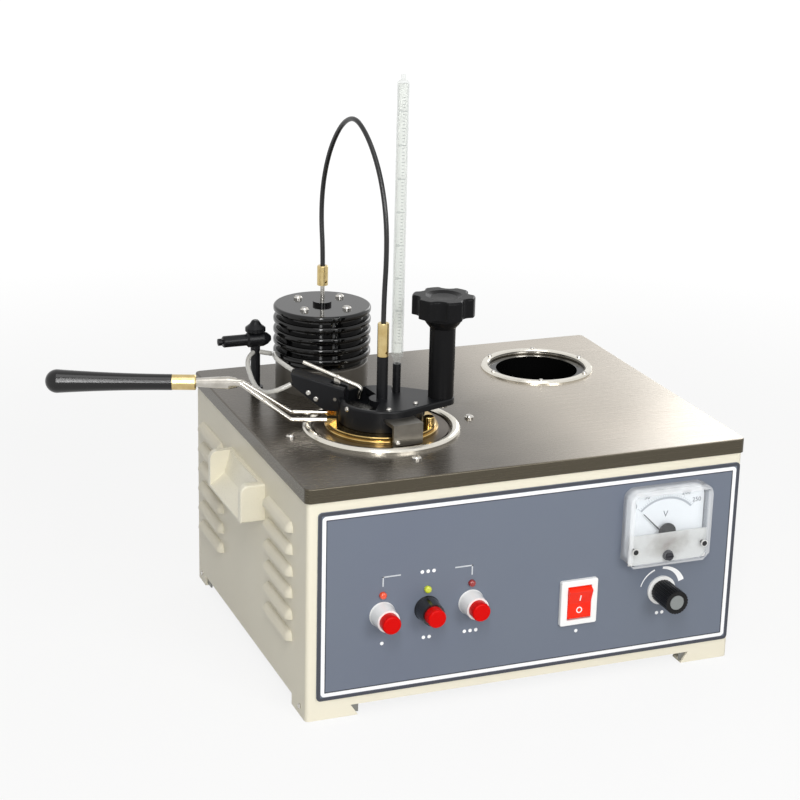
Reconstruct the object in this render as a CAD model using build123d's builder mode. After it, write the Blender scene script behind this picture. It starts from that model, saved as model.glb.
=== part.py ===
from build123d import *
import os
from math import cos, radians, sin, tan

# A closed-cup flash point tester. Sizes are in millimetres, +Z is up and the bench is z = 0.
# Places on the case are given from the middle of its footprint, and heights on the deck
# from the top face of the stainless plate.

# --- Case -------------------------------------------------------------------------------
case_width = 320.0
case_depth = 257.0
deck_height = 166.6
sheet = 1.5
case_corner = 3.0
flange_width = 12.0
foot_height = 8.0
front_foot = 38.0
side_foot_front = 29.0
side_foot_rear = 20.0
foot_slant = 6.0
pan_floor = 9.0
pan_sheet = 1.2
pan_gap = 0.1
plate_sheet = 1.2
plate_rim = 10.2
plate_gap = 0.2
shell_top = deck_height - plate_sheet

# Louvres pressed out of both sides
louvre_length = 56.0
louvre_rows = 6
louvre_pitch = 15.7
louvre_top = 125.4
louvre_proud = 4.5
louvre_rise = 7.0
louvre_columns = (-72.0, 87.0)

# Bridge handles on both sides
handle_length = 79.0
handle_height = 27.0
handle_proud = 17.5
handle_brow = 6.0
handle_crease = (7.0, -3.0)
handle_lip = -12.0
handle_level = 124.0
handle_end = 6.0
handle_screw = 36.4
handle_screw_grip = 8.0

# Screws
screw_r = 1.5
screw_head_r = 3.2
screw_head = 2.2
screw_gap = 0.1
screw_grip = 5.0
small_head_r = 1.8
small_head = 1.2
small_screw_r = 1.0
small_grip = 3.4
pan_screw = 117.0
pan_screw_z = 7.0

# --- Front panel ------------------------------------------------------------------------
panel_left = -152.7
panel_right = 158.3
panel_bottom = 14.4
panel_below_rim = 7.1
panel_top = deck_height - plate_rim - panel_below_rim
panel_sheet = 1.0
panel_corner = 3.0
front = case_depth / 2 + panel_sheet

button_x = (-107.0, -75.0, -43.0)
button_z = 71.5
bezel_r = 9.2
bezel_tip_r = 7.9
bezel_proud = 12.0
button_r = 6.5
button_proud = 19.0
button_travel = 3.0
button_sleeve_r = 7.6
button_sleeve = 20.0
button_floor = 1.5
fit = 0.06

lamp_z = 85.6
lamp_r = 2.5
lamp_proud = 2.6
lamp_depth = 7.0

switch_x = 37.2
switch_z = 61.0
switch_width = 27.8
switch_height = 33.3
switch_rim = 3.2
switch_body_width = 24.4
switch_body_height = 29.6
switch_body_depth = 20.0
paddle_width = 17.6
paddle_reach = 12.2
paddle_side_gap = 0.3
paddle_tilt = 7.0
paddle_pin_r = 1.4
paddle_axis_depth = 1.5

meter_x = 100.5
meter_below_top = 37.1
meter_z = panel_top - meter_below_top
meter_width = 64.0
meter_height = 56.5
meter_proud = 11.5
meter_wall = 1.6
meter_corner = 8.0
meter_chamfer = 5.0
meter_barrel_r = 25.0
meter_barrel = 34.0
meter_frame = 1.5
meter_pivot_z = meter_z - 9.2
meter_screw_x = 26.7
meter_screw_z = meter_z - 15.2
zero_z = meter_z - 21.7
zero_r = 3.0
dial_width = 58.0
dial_sheet = 0.8
needle_length = 25.5
needle_rest = 45.0

knob_x = 102.0
knob_below_meter = 51.7
knob_z = meter_z - knob_below_meter
knob_r = 8.5
knob_front = 24.0
knob_back = 2.6
pot_r = 8.5
pot_depth = 12.0
pot_bush_r = 4.0
pot_nut_r = 7.6
pot_shaft_r = 3.0
cap_r = 5.2
cap_groove = 0.6

inlet_x = 90.0
inlet_z = 45.0
inlet_width = 30.0
inlet_height = 23.0
inlet_proud = 2.5
inlet_depth = 18.0

# --- Stove and cup ----------------------------------------------------------------------
stove_x = -72.6
stove_y = -31.5
ring_outer_r = 55.0
ring_band = 6.0
ring_inner_r = ring_outer_r - ring_band
ring_height = 3.4
stove_screw_r = 66.5
bath_flange_r = 72.0
bath_flange = 3.0
bath_rim = 1.0
bath_neck_gap = 2.0
bath_neck_r = ring_inner_r - bath_neck_gap
bath_outer_r = 44.0
bath_inner_r = 31.0
bath_floor = -62.0
bath_bottom = -75.0
heater_r = 40.0
heater_height = 10.0
jacket_outer_r = 56.0
jacket_gap = 0.2
jacket_floor = 8.0

seat_gap = 0.1
cup_inner_r = 25.4
cup_neck_r = 27.2
cup_depth = 55.8
cup_top = 8.5
cup_bottom_wall = 2.3
cup_flange_r = 39.7
cup_step_r = 38.2
cup_boss_reach = 34.5
cup_boss_turn = -40.0
cup_boss_r = 3.9
cup_boss_top = 13.0
cup_flange = 2.4
cup_step = 2.4

grip_turn = 161.0
prong_r = 1.8
prong_apart = 8.0
prong_level = 8.0
prong_start = 32.0
prong_knee = 63.0
socket_length = 6.5
grip_level = 31.8
fork_join = 97.0
ferrule_start = 128.3
grip_start = 144.8
grip_end = 231.6
ferrule_r = 5.4
grip_neck_r = 5.6
grip_tail_r = 8.2

# --- Lid --------------------------------------------------------------------------------
lid_r = 30.0
lid_skirt_gap = 0.15
lid_skirt_bottom = 6.2
lid_plate_top = 12.0
lid_rim_top = 17.0
lid_rim_wall = 2.5
cover_top = 21.5
cover_slot = (9.0, 27.0)
cover_slot_turn = 167.5
cover_slot_half = 72.5
cover_screw_r = 25.5
cover_screw_turns = (50.0, -45.0, -100.0)
side_screw_turn = 197.0
side_screw_z = 19.2
boss_r = 7.0
port_inner_r = 12.5
port_outer_r = 23.5
port_turns = (145.0, 205.0, 265.0)
port_half = 10.5
window_half = 17.5
shutter_turn = 30.0
shutter_sheet = 1.6
shutter_r = 26.5
slide_gap = 0.1

knob_turn_place = -10.5
shutter_knob_reach = 41.7
crank_r = 13.9
crank_half = 36.0
crank_pin_r = 1.5
crank_slot_gap = 0.65
crank_sheet = 1.6
spindle_r = 4.0
stem_r = 9.0
stem_top = 74.5
hub_r = 13.5
hub_top = 81.0
star_r = 21.8
star_top = 94.5
star_lobes = 6
star_turn = 0.0

column_r = 3.9
column_top = 52.0
stirrer_r = 1.5
stirrer_bottom = -40.0
stirrer_top = 60.0
blade_r = 14.0
small_blade_r = 8.0
coupling_top = 76.0
coupling_bore_depth = 7.0

thermo_x = 15.0
thermo_y = 11.0
thermo_stem_r = 2.1
thermo_tube_r = 4.2
thermo_wall = 0.7
thermo_bulb = -36.0
thermo_shoulder = 45.0
thermo_top = 244.0
holder_r = 2.9
holder_top = 42.0

block_turn = 145.0
block_half = 7.0
block_slot = 2.4
block_front = -1
block_screws = ((51.0, 22.5), (45.5, 18.5))
block_screw_grip = 3.5
burner_pivot_r = 32.0
burner_pivot_z = 19.5
burner_pin_r = 1.2
burner_tube_r = 1.5
nipple_r = 1.1
nipple_length = 7.0

# The nipples on the burner's block: reach, offset and height of the root, then turn and rise
upper_nipple = (63.5, 3.7, 33.0)
upper_aim = (118.0, 15.0)
lower_nipple = (62.4, -3.7, 27.7)
lower_aim = (175.0, -24.0)

clip_turn = -86.0
clip_width = 22.0
clip_sheet = 2.5
clip_reach = 43.5
clip_bottom = 1.6
clip_top = 16.4
clip_screw_aside = 8.0
clip_screw_z = 4.1

# --- Deck furniture ---------------------------------------------------------------------
well_x = 89.6
well_y = 61.6
well_ring_outer_r = 42.5
well_ring_band = 5.5
well_ring_inner_r = well_ring_outer_r - well_ring_band
well_ring_height = 2.2
well_flange_r = 46.0
well_r = 31.0
well_wall = 1.5
well_depth = 62.0
well_screw_inset = 2.7
well_screw_r = well_ring_outer_r - well_screw_inset
well_screws = 6

motor_x = -80.0
motor_y = 74.0
motor_body_r = 34.0
motor_body_top = 19.5
fin_r = 35.8
fin_root_r = 30.5
fin_count = 5
fin_pitch = 8.1
fin_sheet = 4.6
motor_top = 61.0
motor_screw_r = 22.0
motor_screw_turn = 35.0
shaft_bottom = 40.0
shaft_r = 1.6
drive_coupling_bottom = 75.5
drive_coupling_top = 90.0
drive_coupling_r = 4.0

valve_x = -130.5
valve_y = 76.0
valve_post_r = 3.5
valve_level = 38.0
valve_barrel_r = 4.2
valve_left = -155.3
valve_right = -119.0
valve_outlet = 29.0
valve_outlet_turns = (-50.0, -130.0)
valve_cone_top = 52.5

cable_r = 1.75
hose_r = 1.75
hose_start = 4.5

# Places along the flexible shaft: how far it is from the motor's axis, and its height
cable_route = (
    (0, 84.2), (0, 102), (-3.5, 124), (-2, 146), (5, 167), (17, 186), (34, 202), (53, 208.5),
    (72, 201), (89, 186), (101, 167), (107.5, 145), (108.5, 121), (105.76, 93), (105.76, 69.3),
)

# Places along the two hoses on the case, between the valve and the burner's block
upper_route = (
    (-122.3, 66.3, 29.2), (-121.3, 58.0, 31.5), (-124.5, 49.0, 34.5), (-128.0, 39.0, 36.5),
    (-129.5, 28.5, 37.0),
)
lower_route = (
    (-138.9, 66.0, 28.5), (-142.8, 56.0, 25.5), (-144.3, 44.5, 21.5), (-145.3, 32.5, 18.6),
    (-145.2, 20.5, 17.6), (-143.3, 9.8, 19.0),
)

# The origin is under the middle of the whole outline, so the case stands to its right.
handle_left = stove_x + (grip_end - grip_tail_r) * cos(radians(grip_turn)) - grip_tail_r
case_x = -(handle_left + case_width / 2 + handle_proud) / 2
case_y = (front + knob_front - case_depth / 2 - inlet_proud) / 2


# --- Planes and axes --------------------------------------------------------------------
def bench(x, y, z):
    """A level plane at a place on the case, at a height over the bench."""
    return Plane((case_x + x, case_y + y, z))


def deck(x, y, z):
    """A level plane at a place on the case, at a height over the deck."""
    return bench(x, y, deck_height + z)


def upright(x, y, turn=0.0, aside=0.0):
    """A standing plane on the deck: its first axis points out at the turn, its second up."""
    out = Vector(cos(radians(turn)), sin(radians(turn)), 0)
    side = Vector(out.Y, -out.X, 0)
    base = Vector(case_x + x, case_y + y, deck_height)
    return Plane(base - side * aside, x_dir=out, z_dir=side)


def post(x, y):
    """The standing axis at a place on the case."""
    return Axis((case_x + x, case_y + y, 0), (0, 0, 1))


def facing(x, z, proud=0.0):
    """A plane on the front panel's face, which looks out at the user."""
    return Plane((case_x + x, case_y - front - proud, z), x_dir=(1, 0, 0), z_dir=(0, -1, 0))


def around(radius, turn):
    """A point at a radius and a turn."""
    return (radius * cos(radians(turn)), radius * sin(radians(turn)))


def sector(inner, outer, turn, half):
    """Sketch a ring sector centred on a turn."""
    with BuildLine() as outline:
        a = around(inner, turn - half)
        b = around(outer, turn - half)
        c = around(outer, turn + half)
        d = around(inner, turn + half)
        Line(a, b)
        ThreePointArc(b, around(outer, turn), c)
        Line(c, d)
        ThreePointArc(d, around(inner, turn), a)
    make_face(outline.edges())


def profile(*points):
    """Sketch a closed polygon."""
    with BuildLine() as outline:
        Polyline(*points, close=True)
    make_face(outline.edges())


def aim(turn, rise):
    """The direction at a turn and a rise."""
    level = cos(radians(rise))
    return Vector(cos(radians(turn)) * level, sin(radians(turn)) * level, sin(radians(rise)))


def nipple_base(root):
    """The root of a nipple on the burner's block."""
    reach, offset, height = root
    out = upright(stove_x, stove_y, block_turn)
    return out.origin + out.x_dir * reach + out.z_dir * offset + Vector(0, 0, height)


upper_heading = aim(*upper_aim)
lower_heading = aim(*lower_aim)
stove_axis = post(stove_x, stove_y)
stove_level = deck(stove_x, stove_y, 0)

# --- Case shell -------------------------------------------------------------------------
# One pressed louvre on the left side: a hood over a slit that opens downwards.
with BuildPart() as louvre_hood:
    side = Plane((0, 0, 0), x_dir=(-1, 0, 0), z_dir=(0, 1, 0))
    with BuildSketch(side):
        with BuildLine():
            Line((0, 0), (louvre_proud, 0))
            ThreePointArc((louvre_proud, 0), (louvre_proud * 0.8, louvre_rise * 0.62), (0, louvre_rise))
            Line((0, louvre_rise), (0, 0))
        make_face()
    extrude(amount=louvre_length / 2 - louvre_proud, both=True)
    for end in (1, -1):
        with BuildSketch(side.offset(end * (louvre_length / 2 - louvre_proud))):
            with BuildLine():
                Line((0, 0), (louvre_proud, 0))
                ThreePointArc((louvre_proud, 0), (louvre_proud * 0.8, louvre_rise * 0.62), (0, louvre_rise))
                Line((0, louvre_rise), (0, 0))
            make_face()
        turn_axis = Axis((0, end * (louvre_length / 2 - louvre_proud), 0), (0, 0, 1))
        revolve(axis=turn_axis, revolution_arc=-end * 90)

with BuildPart() as louvre_hollow:
    slit = louvre_length - 2 * louvre_proud
    with BuildSketch(side):
        profile(
            (-2 * sheet, 0),
            (louvre_proud - 1.1, 0),
            (louvre_proud - 1.5, louvre_rise * 0.5),
            (0.1, louvre_rise - 1.6),
            (-2 * sheet, louvre_rise - 1.6),
        )
    extrude(amount=slit / 2, both=True)

louvre_spots = [
    Location((side_sign * case_width / 2 + case_x, side_sign * -y + case_y, louvre_top - row * louvre_pitch),
             (0, 0, 90 + 90 * side_sign))
    for side_sign in (-1, 1)
    for y in louvre_columns
    for row in range(louvre_rows)
]

with BuildPart() as case_shell:
    with BuildSketch(bench(0, 0, 0)):
        RectangleRounded(case_width, case_depth, case_corner)
    extrude(amount=shell_top)
    with BuildSketch(bench(0, 0, sheet)):
        RectangleRounded(case_width - 2 * sheet, case_depth - 2 * sheet, case_corner - sheet)
    extrude(amount=shell_top - 2 * sheet, mode=Mode.SUBTRACT)
    with BuildSketch(bench(0, 0, 0)):
        Rectangle(case_width - 2 * flange_width, case_depth - 2 * flange_width)
    extrude(amount=shell_top, mode=Mode.SUBTRACT)
    # The lower edge is cut away between the corner feet.
    with BuildSketch(Plane((case_x, case_y - case_depth / 2, 0), x_dir=(1, 0, 0), z_dir=(0, -1, 0))):
        low = case_width / 2 - front_foot
        profile((-low, -1), (low, -1), (low + foot_slant, foot_height), (-low - foot_slant, foot_height))
    extrude(amount=-case_depth, mode=Mode.SUBTRACT)
    with BuildSketch(Plane((case_x - case_width / 2, case_y, 0), x_dir=(0, -1, 0), z_dir=(-1, 0, 0))):
        ahead = case_depth / 2 - side_foot_front
        behind = case_depth / 2 - side_foot_rear
        profile((-behind, -1), (ahead, -1), (ahead, foot_height), (-behind, foot_height))
    extrude(amount=-case_width, mode=Mode.SUBTRACT)
    # Openings behind the front panel and for the mains inlet at the back.
    with BuildSketch(facing(0, 0)):
        with Locations(*[(x, button_z) for x in button_x]):
            Circle(button_sleeve_r + 1)
        with Locations(*[(x, lamp_z) for x in button_x]):
            Circle(lamp_r + 1)
        with Locations((switch_x, switch_z)):
            Rectangle(switch_body_width + 2, switch_body_height + 2)
        with Locations((meter_x, meter_z)):
            Circle(meter_barrel_r + 1)
        with Locations((knob_x, knob_z)):
            Circle(pot_bush_r + 1)
    extrude(amount=-2 * sheet - panel_sheet, mode=Mode.SUBTRACT)
    back = Plane((case_x + inlet_x, case_y + case_depth / 2, inlet_z), x_dir=(-1, 0, 0), z_dir=(0, 1, 0))
    with BuildSketch(back):
        Rectangle(inlet_width - 3, inlet_height - 3)
    extrude(amount=-2 * sheet, mode=Mode.SUBTRACT)
    for spot in louvre_spots:
        with Locations(spot):
            add(louvre_hood.part)
    for spot in louvre_spots:
        with Locations(spot):
            add(louvre_hollow.part, mode=Mode.SUBTRACT)
    # Screw holes for the handles and the base pan.
    for side_sign in (-1, 1):
        flank = Plane((case_x + side_sign * case_width / 2, case_y, 0), x_dir=(0, side_sign, 0),
                      z_dir=(side_sign, 0, 0))
        with BuildSketch(flank):
            with Locations((-handle_screw, handle_level), (handle_screw, handle_level)):
                Circle(screw_r + screw_gap)
            with Locations((-pan_screw, pan_screw_z), (pan_screw, pan_screw_z)):
                Circle(small_screw_r + screw_gap)
        extrude(amount=-2 * sheet, mode=Mode.SUBTRACT)
    # The wrap is two cheeks with a front and a back between them, which meet where their flanges do.
    for side_sign in (-1, 1):
        seam = Plane((case_x + side_sign * (case_width / 2 - flange_width), case_y, 0), z_dir=(1, 0, 0))
        split(bisect_by=seam, keep=Keep.BOTH)

# The base pan closes the case below, with a skirt that goes down inside the feet.
with BuildPart() as base_pan:
    inner_width = case_width - 2 * sheet - 2 * pan_gap
    inner_depth = case_depth - 2 * sheet - 2 * pan_gap
    with BuildSketch(bench(0, 0, sheet + pan_gap)):
        RectangleRounded(inner_width, inner_depth, case_corner - sheet)
    extrude(amount=pan_floor + pan_sheet - sheet - pan_gap)
    with BuildSketch(bench(0, 0, 0)):
        Rectangle(inner_width - 2 * pan_sheet, inner_depth - 2 * pan_sheet)
    extrude(amount=pan_floor, mode=Mode.SUBTRACT)
    with BuildSketch(bench(0, 0, 0)):
        Rectangle(case_width - 2 * front_foot, case_depth)
        Rectangle(case_width, case_depth - 2 * side_foot_front)
    extrude(amount=pan_floor, mode=Mode.SUBTRACT)
    with BuildSketch(bench(0, 0, pan_floor)):
        with GridLocations(44, 20, 5, 5):
            SlotOverall(32, 4)
    extrude(amount=2 * pan_sheet, mode=Mode.SUBTRACT)
    with BuildSketch(Plane((case_x, case_y, 0), x_dir=(0, 1, 0), z_dir=(1, 0, 0))):
        with Locations((-pan_screw, pan_screw_z), (pan_screw, pan_screw_z)):
            Circle(small_screw_r)
    extrude(amount=case_width, both=True, mode=Mode.SUBTRACT)

# The stainless deck is a shallow pan turned over the case.
with BuildPart() as top_plate:
    lip = plate_sheet + plate_gap
    with BuildSketch(bench(0, 0, deck_height - plate_rim)):
        RectangleRounded(case_width + 2 * lip, case_depth + 2 * lip, case_corner + lip)
    extrude(amount=plate_rim)
    fillet(top_plate.faces().sort_by(Axis.Z)[-1].outer_wire().edges(), plate_sheet * 0.9)
    with BuildSketch(bench(0, 0, deck_height - plate_rim)):
        RectangleRounded(case_width + 2 * plate_gap, case_depth + 2 * plate_gap, case_corner + plate_gap)
    extrude(amount=plate_rim - plate_sheet, mode=Mode.SUBTRACT)
    with BuildSketch(stove_level):
        Circle(ring_inner_r)
        with PolarLocations(stove_screw_r, 4):
            Circle(screw_r + screw_gap)
    extrude(amount=-2 * plate_sheet, mode=Mode.SUBTRACT)
    with BuildSketch(deck(well_x, well_y, 0)):
        Circle(well_ring_inner_r)
        with PolarLocations(well_screw_r, well_screws, start_angle=10):
            Circle(screw_r + screw_gap)
    extrude(amount=-2 * plate_sheet, mode=Mode.SUBTRACT)
    with BuildSketch(deck(motor_x, motor_y, 0)):
        Circle(fin_root_r - 8)
    extrude(amount=-2 * plate_sheet, mode=Mode.SUBTRACT)

with BuildPart() as front_panel:
    with BuildSketch(facing(0, 0, -panel_sheet)):
        with Locations(((panel_left + panel_right) / 2, (panel_bottom + panel_top) / 2)):
            RectangleRounded(panel_right - panel_left, panel_top - panel_bottom, panel_corner)
        with Locations(*[(x, button_z) for x in button_x]):
            Circle(button_sleeve_r + pan_gap, mode=Mode.SUBTRACT)
        with Locations(*[(x, lamp_z) for x in button_x]):
            Circle(lamp_r + pan_gap, mode=Mode.SUBTRACT)
        with Locations((switch_x, switch_z)):
            Rectangle(switch_body_width + 2 * pan_gap, switch_body_height + 2 * pan_gap, mode=Mode.SUBTRACT)
        with Locations((meter_x, meter_z)):
            Circle(meter_barrel_r + pan_gap, mode=Mode.SUBTRACT)
        with Locations((knob_x, knob_z)):
            Circle(pot_bush_r + pan_gap, mode=Mode.SUBTRACT)
    extrude(amount=panel_sheet)

# --- Side handles -----------------------------------------------------------------------
def side_handle(side_sign):
    """Build a pull with thick ends, a flared lip between them and a hollow behind the lip."""
    flank = Plane((case_x + side_sign * case_width / 2, case_y, 0), x_dir=(0, side_sign, 0),
                  z_dir=(side_sign, 0, 0))
    with BuildPart() as pull:
        # Across the pull: out from the case, and up the front.
        across = Plane((case_x + side_sign * case_width / 2, case_y, handle_level), x_dir=(side_sign, 0, 0),
                       z_dir=(0, -side_sign, 0))
        half = handle_height / 2
        with BuildSketch(across):
            with BuildLine() as outline:
                Polyline(
                    (handle_proud - handle_brow, half), (0, half), (0, -half), (handle_proud, -half),
                    (handle_proud, half - handle_brow),
                )
                RadiusArc(
                    (handle_proud, half - handle_brow), (handle_proud - handle_brow, half), -handle_brow
                )
            make_face(outline.edges())
        extrude(amount=handle_length / 2, both=True)
        ends = pull.faces().filter_by(Axis.Y).edges()
        fillet(ends.filter_by(lambda e: abs(e.center().X - flank.origin.X) > 1), 1.4)
        crease_out, crease_up = handle_crease
        with BuildSketch(across):
            profile(
                (handle_proud + 1, handle_lip), (handle_proud, handle_lip), (crease_out, crease_up),
                (3.0, half - 1.5), (3.0, half + 1), (handle_proud + 1, half + 1),
            )
        extrude(amount=handle_length / 2 - handle_end, both=True, mode=Mode.SUBTRACT)
        with BuildSketch(across):
            profile(
                (-1, -half - 1), (handle_proud - 3, -half - 1), (handle_proud - 3, -half),
                (crease_out - 2.6, crease_up - 2.0), (crease_out - 3.6, 4.0), (-1, 4.0),
            )
        extrude(amount=handle_length / 2 - handle_end, both=True, mode=Mode.SUBTRACT)
        with BuildSketch(flank):
            with Locations((-handle_screw, handle_level), (handle_screw, handle_level)):
                Circle(screw_r)
        extrude(amount=handle_proud / 2, mode=Mode.SUBTRACT)
    return pull


left_handle = side_handle(-1)
right_handle = side_handle(1)


def screw(plane, head_r=screw_head_r, head=screw_head, shank_r=screw_r, grip=screw_grip):
    """Add a slotted screw that goes in against the plane's own direction."""
    with BuildSketch(plane) as lower:
        Circle(head_r)
    extrude(lower.sketch, amount=head * 0.5)
    with BuildSketch(plane.offset(head * 0.5)) as upper:
        Circle(head_r)
    extrude(upper.sketch, amount=head * 0.5, taper=40)
    with BuildSketch(plane) as shank:
        Circle(shank_r)
    extrude(shank.sketch, amount=-grip)
    with BuildSketch(plane.offset(head)) as slot:
        Rectangle(2 * head_r, head_r * 0.3)
    extrude(slot.sketch, amount=-head * 0.4, mode=Mode.SUBTRACT)


with BuildPart() as case_screws:
    for side_sign in (-1, 1):
        for y in (-handle_screw, handle_screw):
            seat = case_x + side_sign * (case_width / 2 - sheet)
            screw(Plane((seat, case_y + y, handle_level), z_dir=(-side_sign, 0, 0)), grip=handle_screw_grip)
        for y in (-pan_screw, pan_screw):
            screw(
                Plane(
                    (case_x + side_sign * case_width / 2, case_y + y, pan_screw_z), z_dir=(side_sign, 0, 0)
                ),
                small_head_r, small_head, small_screw_r, small_grip,
            )

# --- Controls on the front panel --------------------------------------------------------
with BuildPart() as button_bezels:
    for x in button_x:
        with BuildSketch(Plane((case_x + x, case_y - front, button_z), x_dir=(1, 0, 0), z_dir=(0, 0, 1))):
            profile(
                (0, panel_sheet + button_sleeve),
                (0, panel_sheet + button_sleeve - button_floor),
                (button_r + fit, panel_sheet + button_sleeve - button_floor),
                (button_r + fit, -bezel_proud),
                (bezel_tip_r, -bezel_proud),
                (bezel_r - 0.5, -1.2),
                (bezel_r, 0),
                (button_sleeve_r, 0),
                (button_sleeve_r, panel_sheet + button_sleeve),
            )
        revolve(axis=Axis((case_x + x, 0, button_z), (0, 1, 0)))


def push_button(x):
    """Build one cap with its plunger, which slides in the bezel."""
    with BuildPart() as cap:
        with BuildSketch(facing(x, button_z, button_proud)):
            Circle(button_r)
        extrude(amount=-(button_proud - button_travel))
        fillet(cap.faces().sort_by(Axis.Y)[0].edges(), 1.4)
    return cap


button_left = push_button(button_x[0])
button_middle = push_button(button_x[1])
button_right = push_button(button_x[2])

with BuildPart() as indicator_lamps:
    for x in button_x:
        with BuildSketch(facing(x, lamp_z, lamp_proud)):
            Circle(lamp_r)
        extrude(amount=-lamp_proud - lamp_depth)
    fillet(indicator_lamps.faces().filter_by(Axis.Y).group_by(Axis.Y)[0].edges(), 1.6)

# The rocker switch: a rim on the panel, a body behind it and a paddle on two pins.
switch_pin = Axis((case_x + switch_x, case_y - front + paddle_axis_depth, switch_z), (1, 0, 0))
with BuildPart() as switch_bezel:
    with BuildSketch(facing(switch_x, switch_z)):
        RectangleRounded(switch_width, switch_height, 1.5)
    extrude(amount=switch_rim)
    fillet(switch_bezel.faces().sort_by(Axis.Y)[0].edges(), 0.9)
    with BuildSketch(facing(switch_x, switch_z)):
        Rectangle(switch_body_width, switch_body_height)
    extrude(amount=-switch_body_depth)
    with BuildSketch(facing(switch_x, switch_z, switch_rim)):
        Rectangle(paddle_width + 2 * paddle_side_gap, 2 * (paddle_reach + paddle_side_gap))
    extrude(amount=-switch_rim - switch_body_depth + 3, mode=Mode.SUBTRACT)
    with BuildSketch(Plane(switch_pin.position, z_dir=(1, 0, 0))):
        Circle(paddle_pin_r + fit)
    extrude(amount=paddle_width / 2 + 2, both=True, mode=Mode.SUBTRACT)

with BuildPart() as switch_paddle:
    leaning = (0, -sin(radians(paddle_tilt)), cos(radians(paddle_tilt)))
    tilted = Plane(switch_pin.position, x_dir=leaning, z_dir=(1, 0, 0))
    with BuildSketch(tilted):
        profile(
            (-paddle_reach, 7.2), (-paddle_reach * 0.75, 6.2), (0, 4.6), (paddle_reach * 0.75, 6.2),
            (paddle_reach, 7.2), (paddle_reach, -2), (paddle_reach * 0.6, -6), (-paddle_reach * 0.6, -6),
            (-paddle_reach, -2),
        )
        Circle(paddle_reach, mode=Mode.INTERSECT)
    extrude(amount=paddle_width / 2, both=True)
    with BuildSketch(Plane(switch_pin.position, z_dir=(1, 0, 0))):
        Circle(paddle_pin_r)
    extrude(amount=paddle_width / 2 + 1.8, both=True)

# The voltmeter: a barrel through the panel, a dial, a needle and a clear cover.
with BuildPart() as meter_case:
    with BuildSketch(facing(meter_x, meter_z)):
        RectangleRounded(
            meter_width - 2 * meter_wall - 1, meter_height - 2 * meter_wall - 1, meter_corner + 1
        )
    extrude(amount=meter_frame)
    with BuildSketch(facing(meter_x, meter_z)):
        Circle(meter_barrel_r)
    extrude(amount=-meter_barrel)
    with BuildSketch(facing(meter_x, meter_pivot_z, meter_frame)):
        Circle(2.2)
    extrude(amount=dial_sheet + 1.6)
    with BuildSketch(facing(meter_x, meter_pivot_z, meter_frame)):
        Circle(0.7)
    extrude(amount=dial_sheet + 4.6)

dial_bottom = meter_z - meter_height / 2 + meter_wall + 1.5
dial_top = meter_z + meter_height / 2 - meter_wall - 2
with BuildPart() as meter_dial:
    with BuildSketch(facing(meter_x, (dial_bottom + dial_top) / 2, meter_frame)):
        RectangleRounded(dial_width, dial_top - dial_bottom, meter_corner - 2)
        with Locations((0, meter_pivot_z - (dial_bottom + dial_top) / 2)):
            Circle(2.2, mode=Mode.SUBTRACT)
    extrude(amount=dial_sheet)

needle_proud = meter_frame + dial_sheet + 1.7
with BuildPart() as meter_needle:
    pointing = (cos(radians(needle_rest)), 0, sin(radians(needle_rest)))
    needle_place = facing(meter_x, meter_pivot_z, needle_proud).origin
    with BuildSketch(Plane(needle_place, x_dir=pointing, z_dir=(0, -1, 0))):
        Circle(2.4)
        with BuildLine():
            Polyline(
                (-0.6, -6), (0.6, -6), (0.25, needle_length), (-0.25, needle_length), close=True
            )
        make_face()
        Circle(0.7 + fit, mode=Mode.SUBTRACT)
    extrude(amount=0.6)


def meter_outline(inset):
    """Sketch the cover's outline: round at the top, cut corners at the bottom."""
    half = meter_width / 2 - inset
    top = meter_height / 2 - inset
    with BuildLine() as outline:
        Line((-half + meter_chamfer, -top), (half - meter_chamfer, -top))
        Line((half - meter_chamfer, -top), (half, -top + meter_chamfer))
        Line((half, -top + meter_chamfer), (half, top - meter_corner))
        RadiusArc((half, top - meter_corner), (half - meter_corner, top), -meter_corner)
        Line((half - meter_corner, top), (-half + meter_corner, top))
        RadiusArc((-half + meter_corner, top), (-half, top - meter_corner), -meter_corner)
        Line((-half, top - meter_corner), (-half, -top + meter_chamfer))
        Line((-half, -top + meter_chamfer), (-half + meter_chamfer, -top))
    make_face(outline.edges())


with BuildPart() as meter_cover:
    with BuildSketch(facing(meter_x, meter_z)):
        meter_outline(0)
    extrude(amount=meter_proud)
    fillet(meter_cover.faces().sort_by(Axis.Y)[0].edges(), 1.0)
    with BuildSketch(facing(meter_x, meter_z)):
        meter_outline(meter_wall)
    extrude(amount=meter_proud - meter_wall, mode=Mode.SUBTRACT)
    with BuildSketch(facing(meter_x, zero_z)):
        Circle(zero_r + fit)
        with Locations(*[(side * meter_screw_x, meter_screw_z - zero_z) for side in (-1, 1)]):
            Circle(screw_r)
    extrude(amount=meter_proud, mode=Mode.SUBTRACT)

with BuildPart() as zero_screw:
    with BuildSketch(facing(meter_x, zero_z, meter_proud - meter_wall - 1)):
        Circle(zero_r + 0.8)
    extrude(amount=0.9)
    with BuildSketch(facing(meter_x, zero_z, meter_proud - meter_wall - 0.2)):
        Circle(zero_r)
    extrude(amount=meter_wall + 1.0)
    with BuildSketch(facing(meter_x, zero_z, meter_proud + 0.8)):
        Rectangle(2 * zero_r - 1, 0.8)
    extrude(amount=-0.9, mode=Mode.SUBTRACT)

with BuildPart() as meter_screws:
    for side in (-1, 1):
        with BuildSketch(facing(meter_x + side * meter_screw_x, meter_screw_z, meter_proud)):
            Circle(screw_r + 1)
        extrude(amount=0.9)
        with BuildSketch(facing(meter_x + side * meter_screw_x, meter_screw_z, meter_proud)):
            Circle(screw_r)
        extrude(amount=-meter_proud + meter_frame + dial_sheet)

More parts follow.
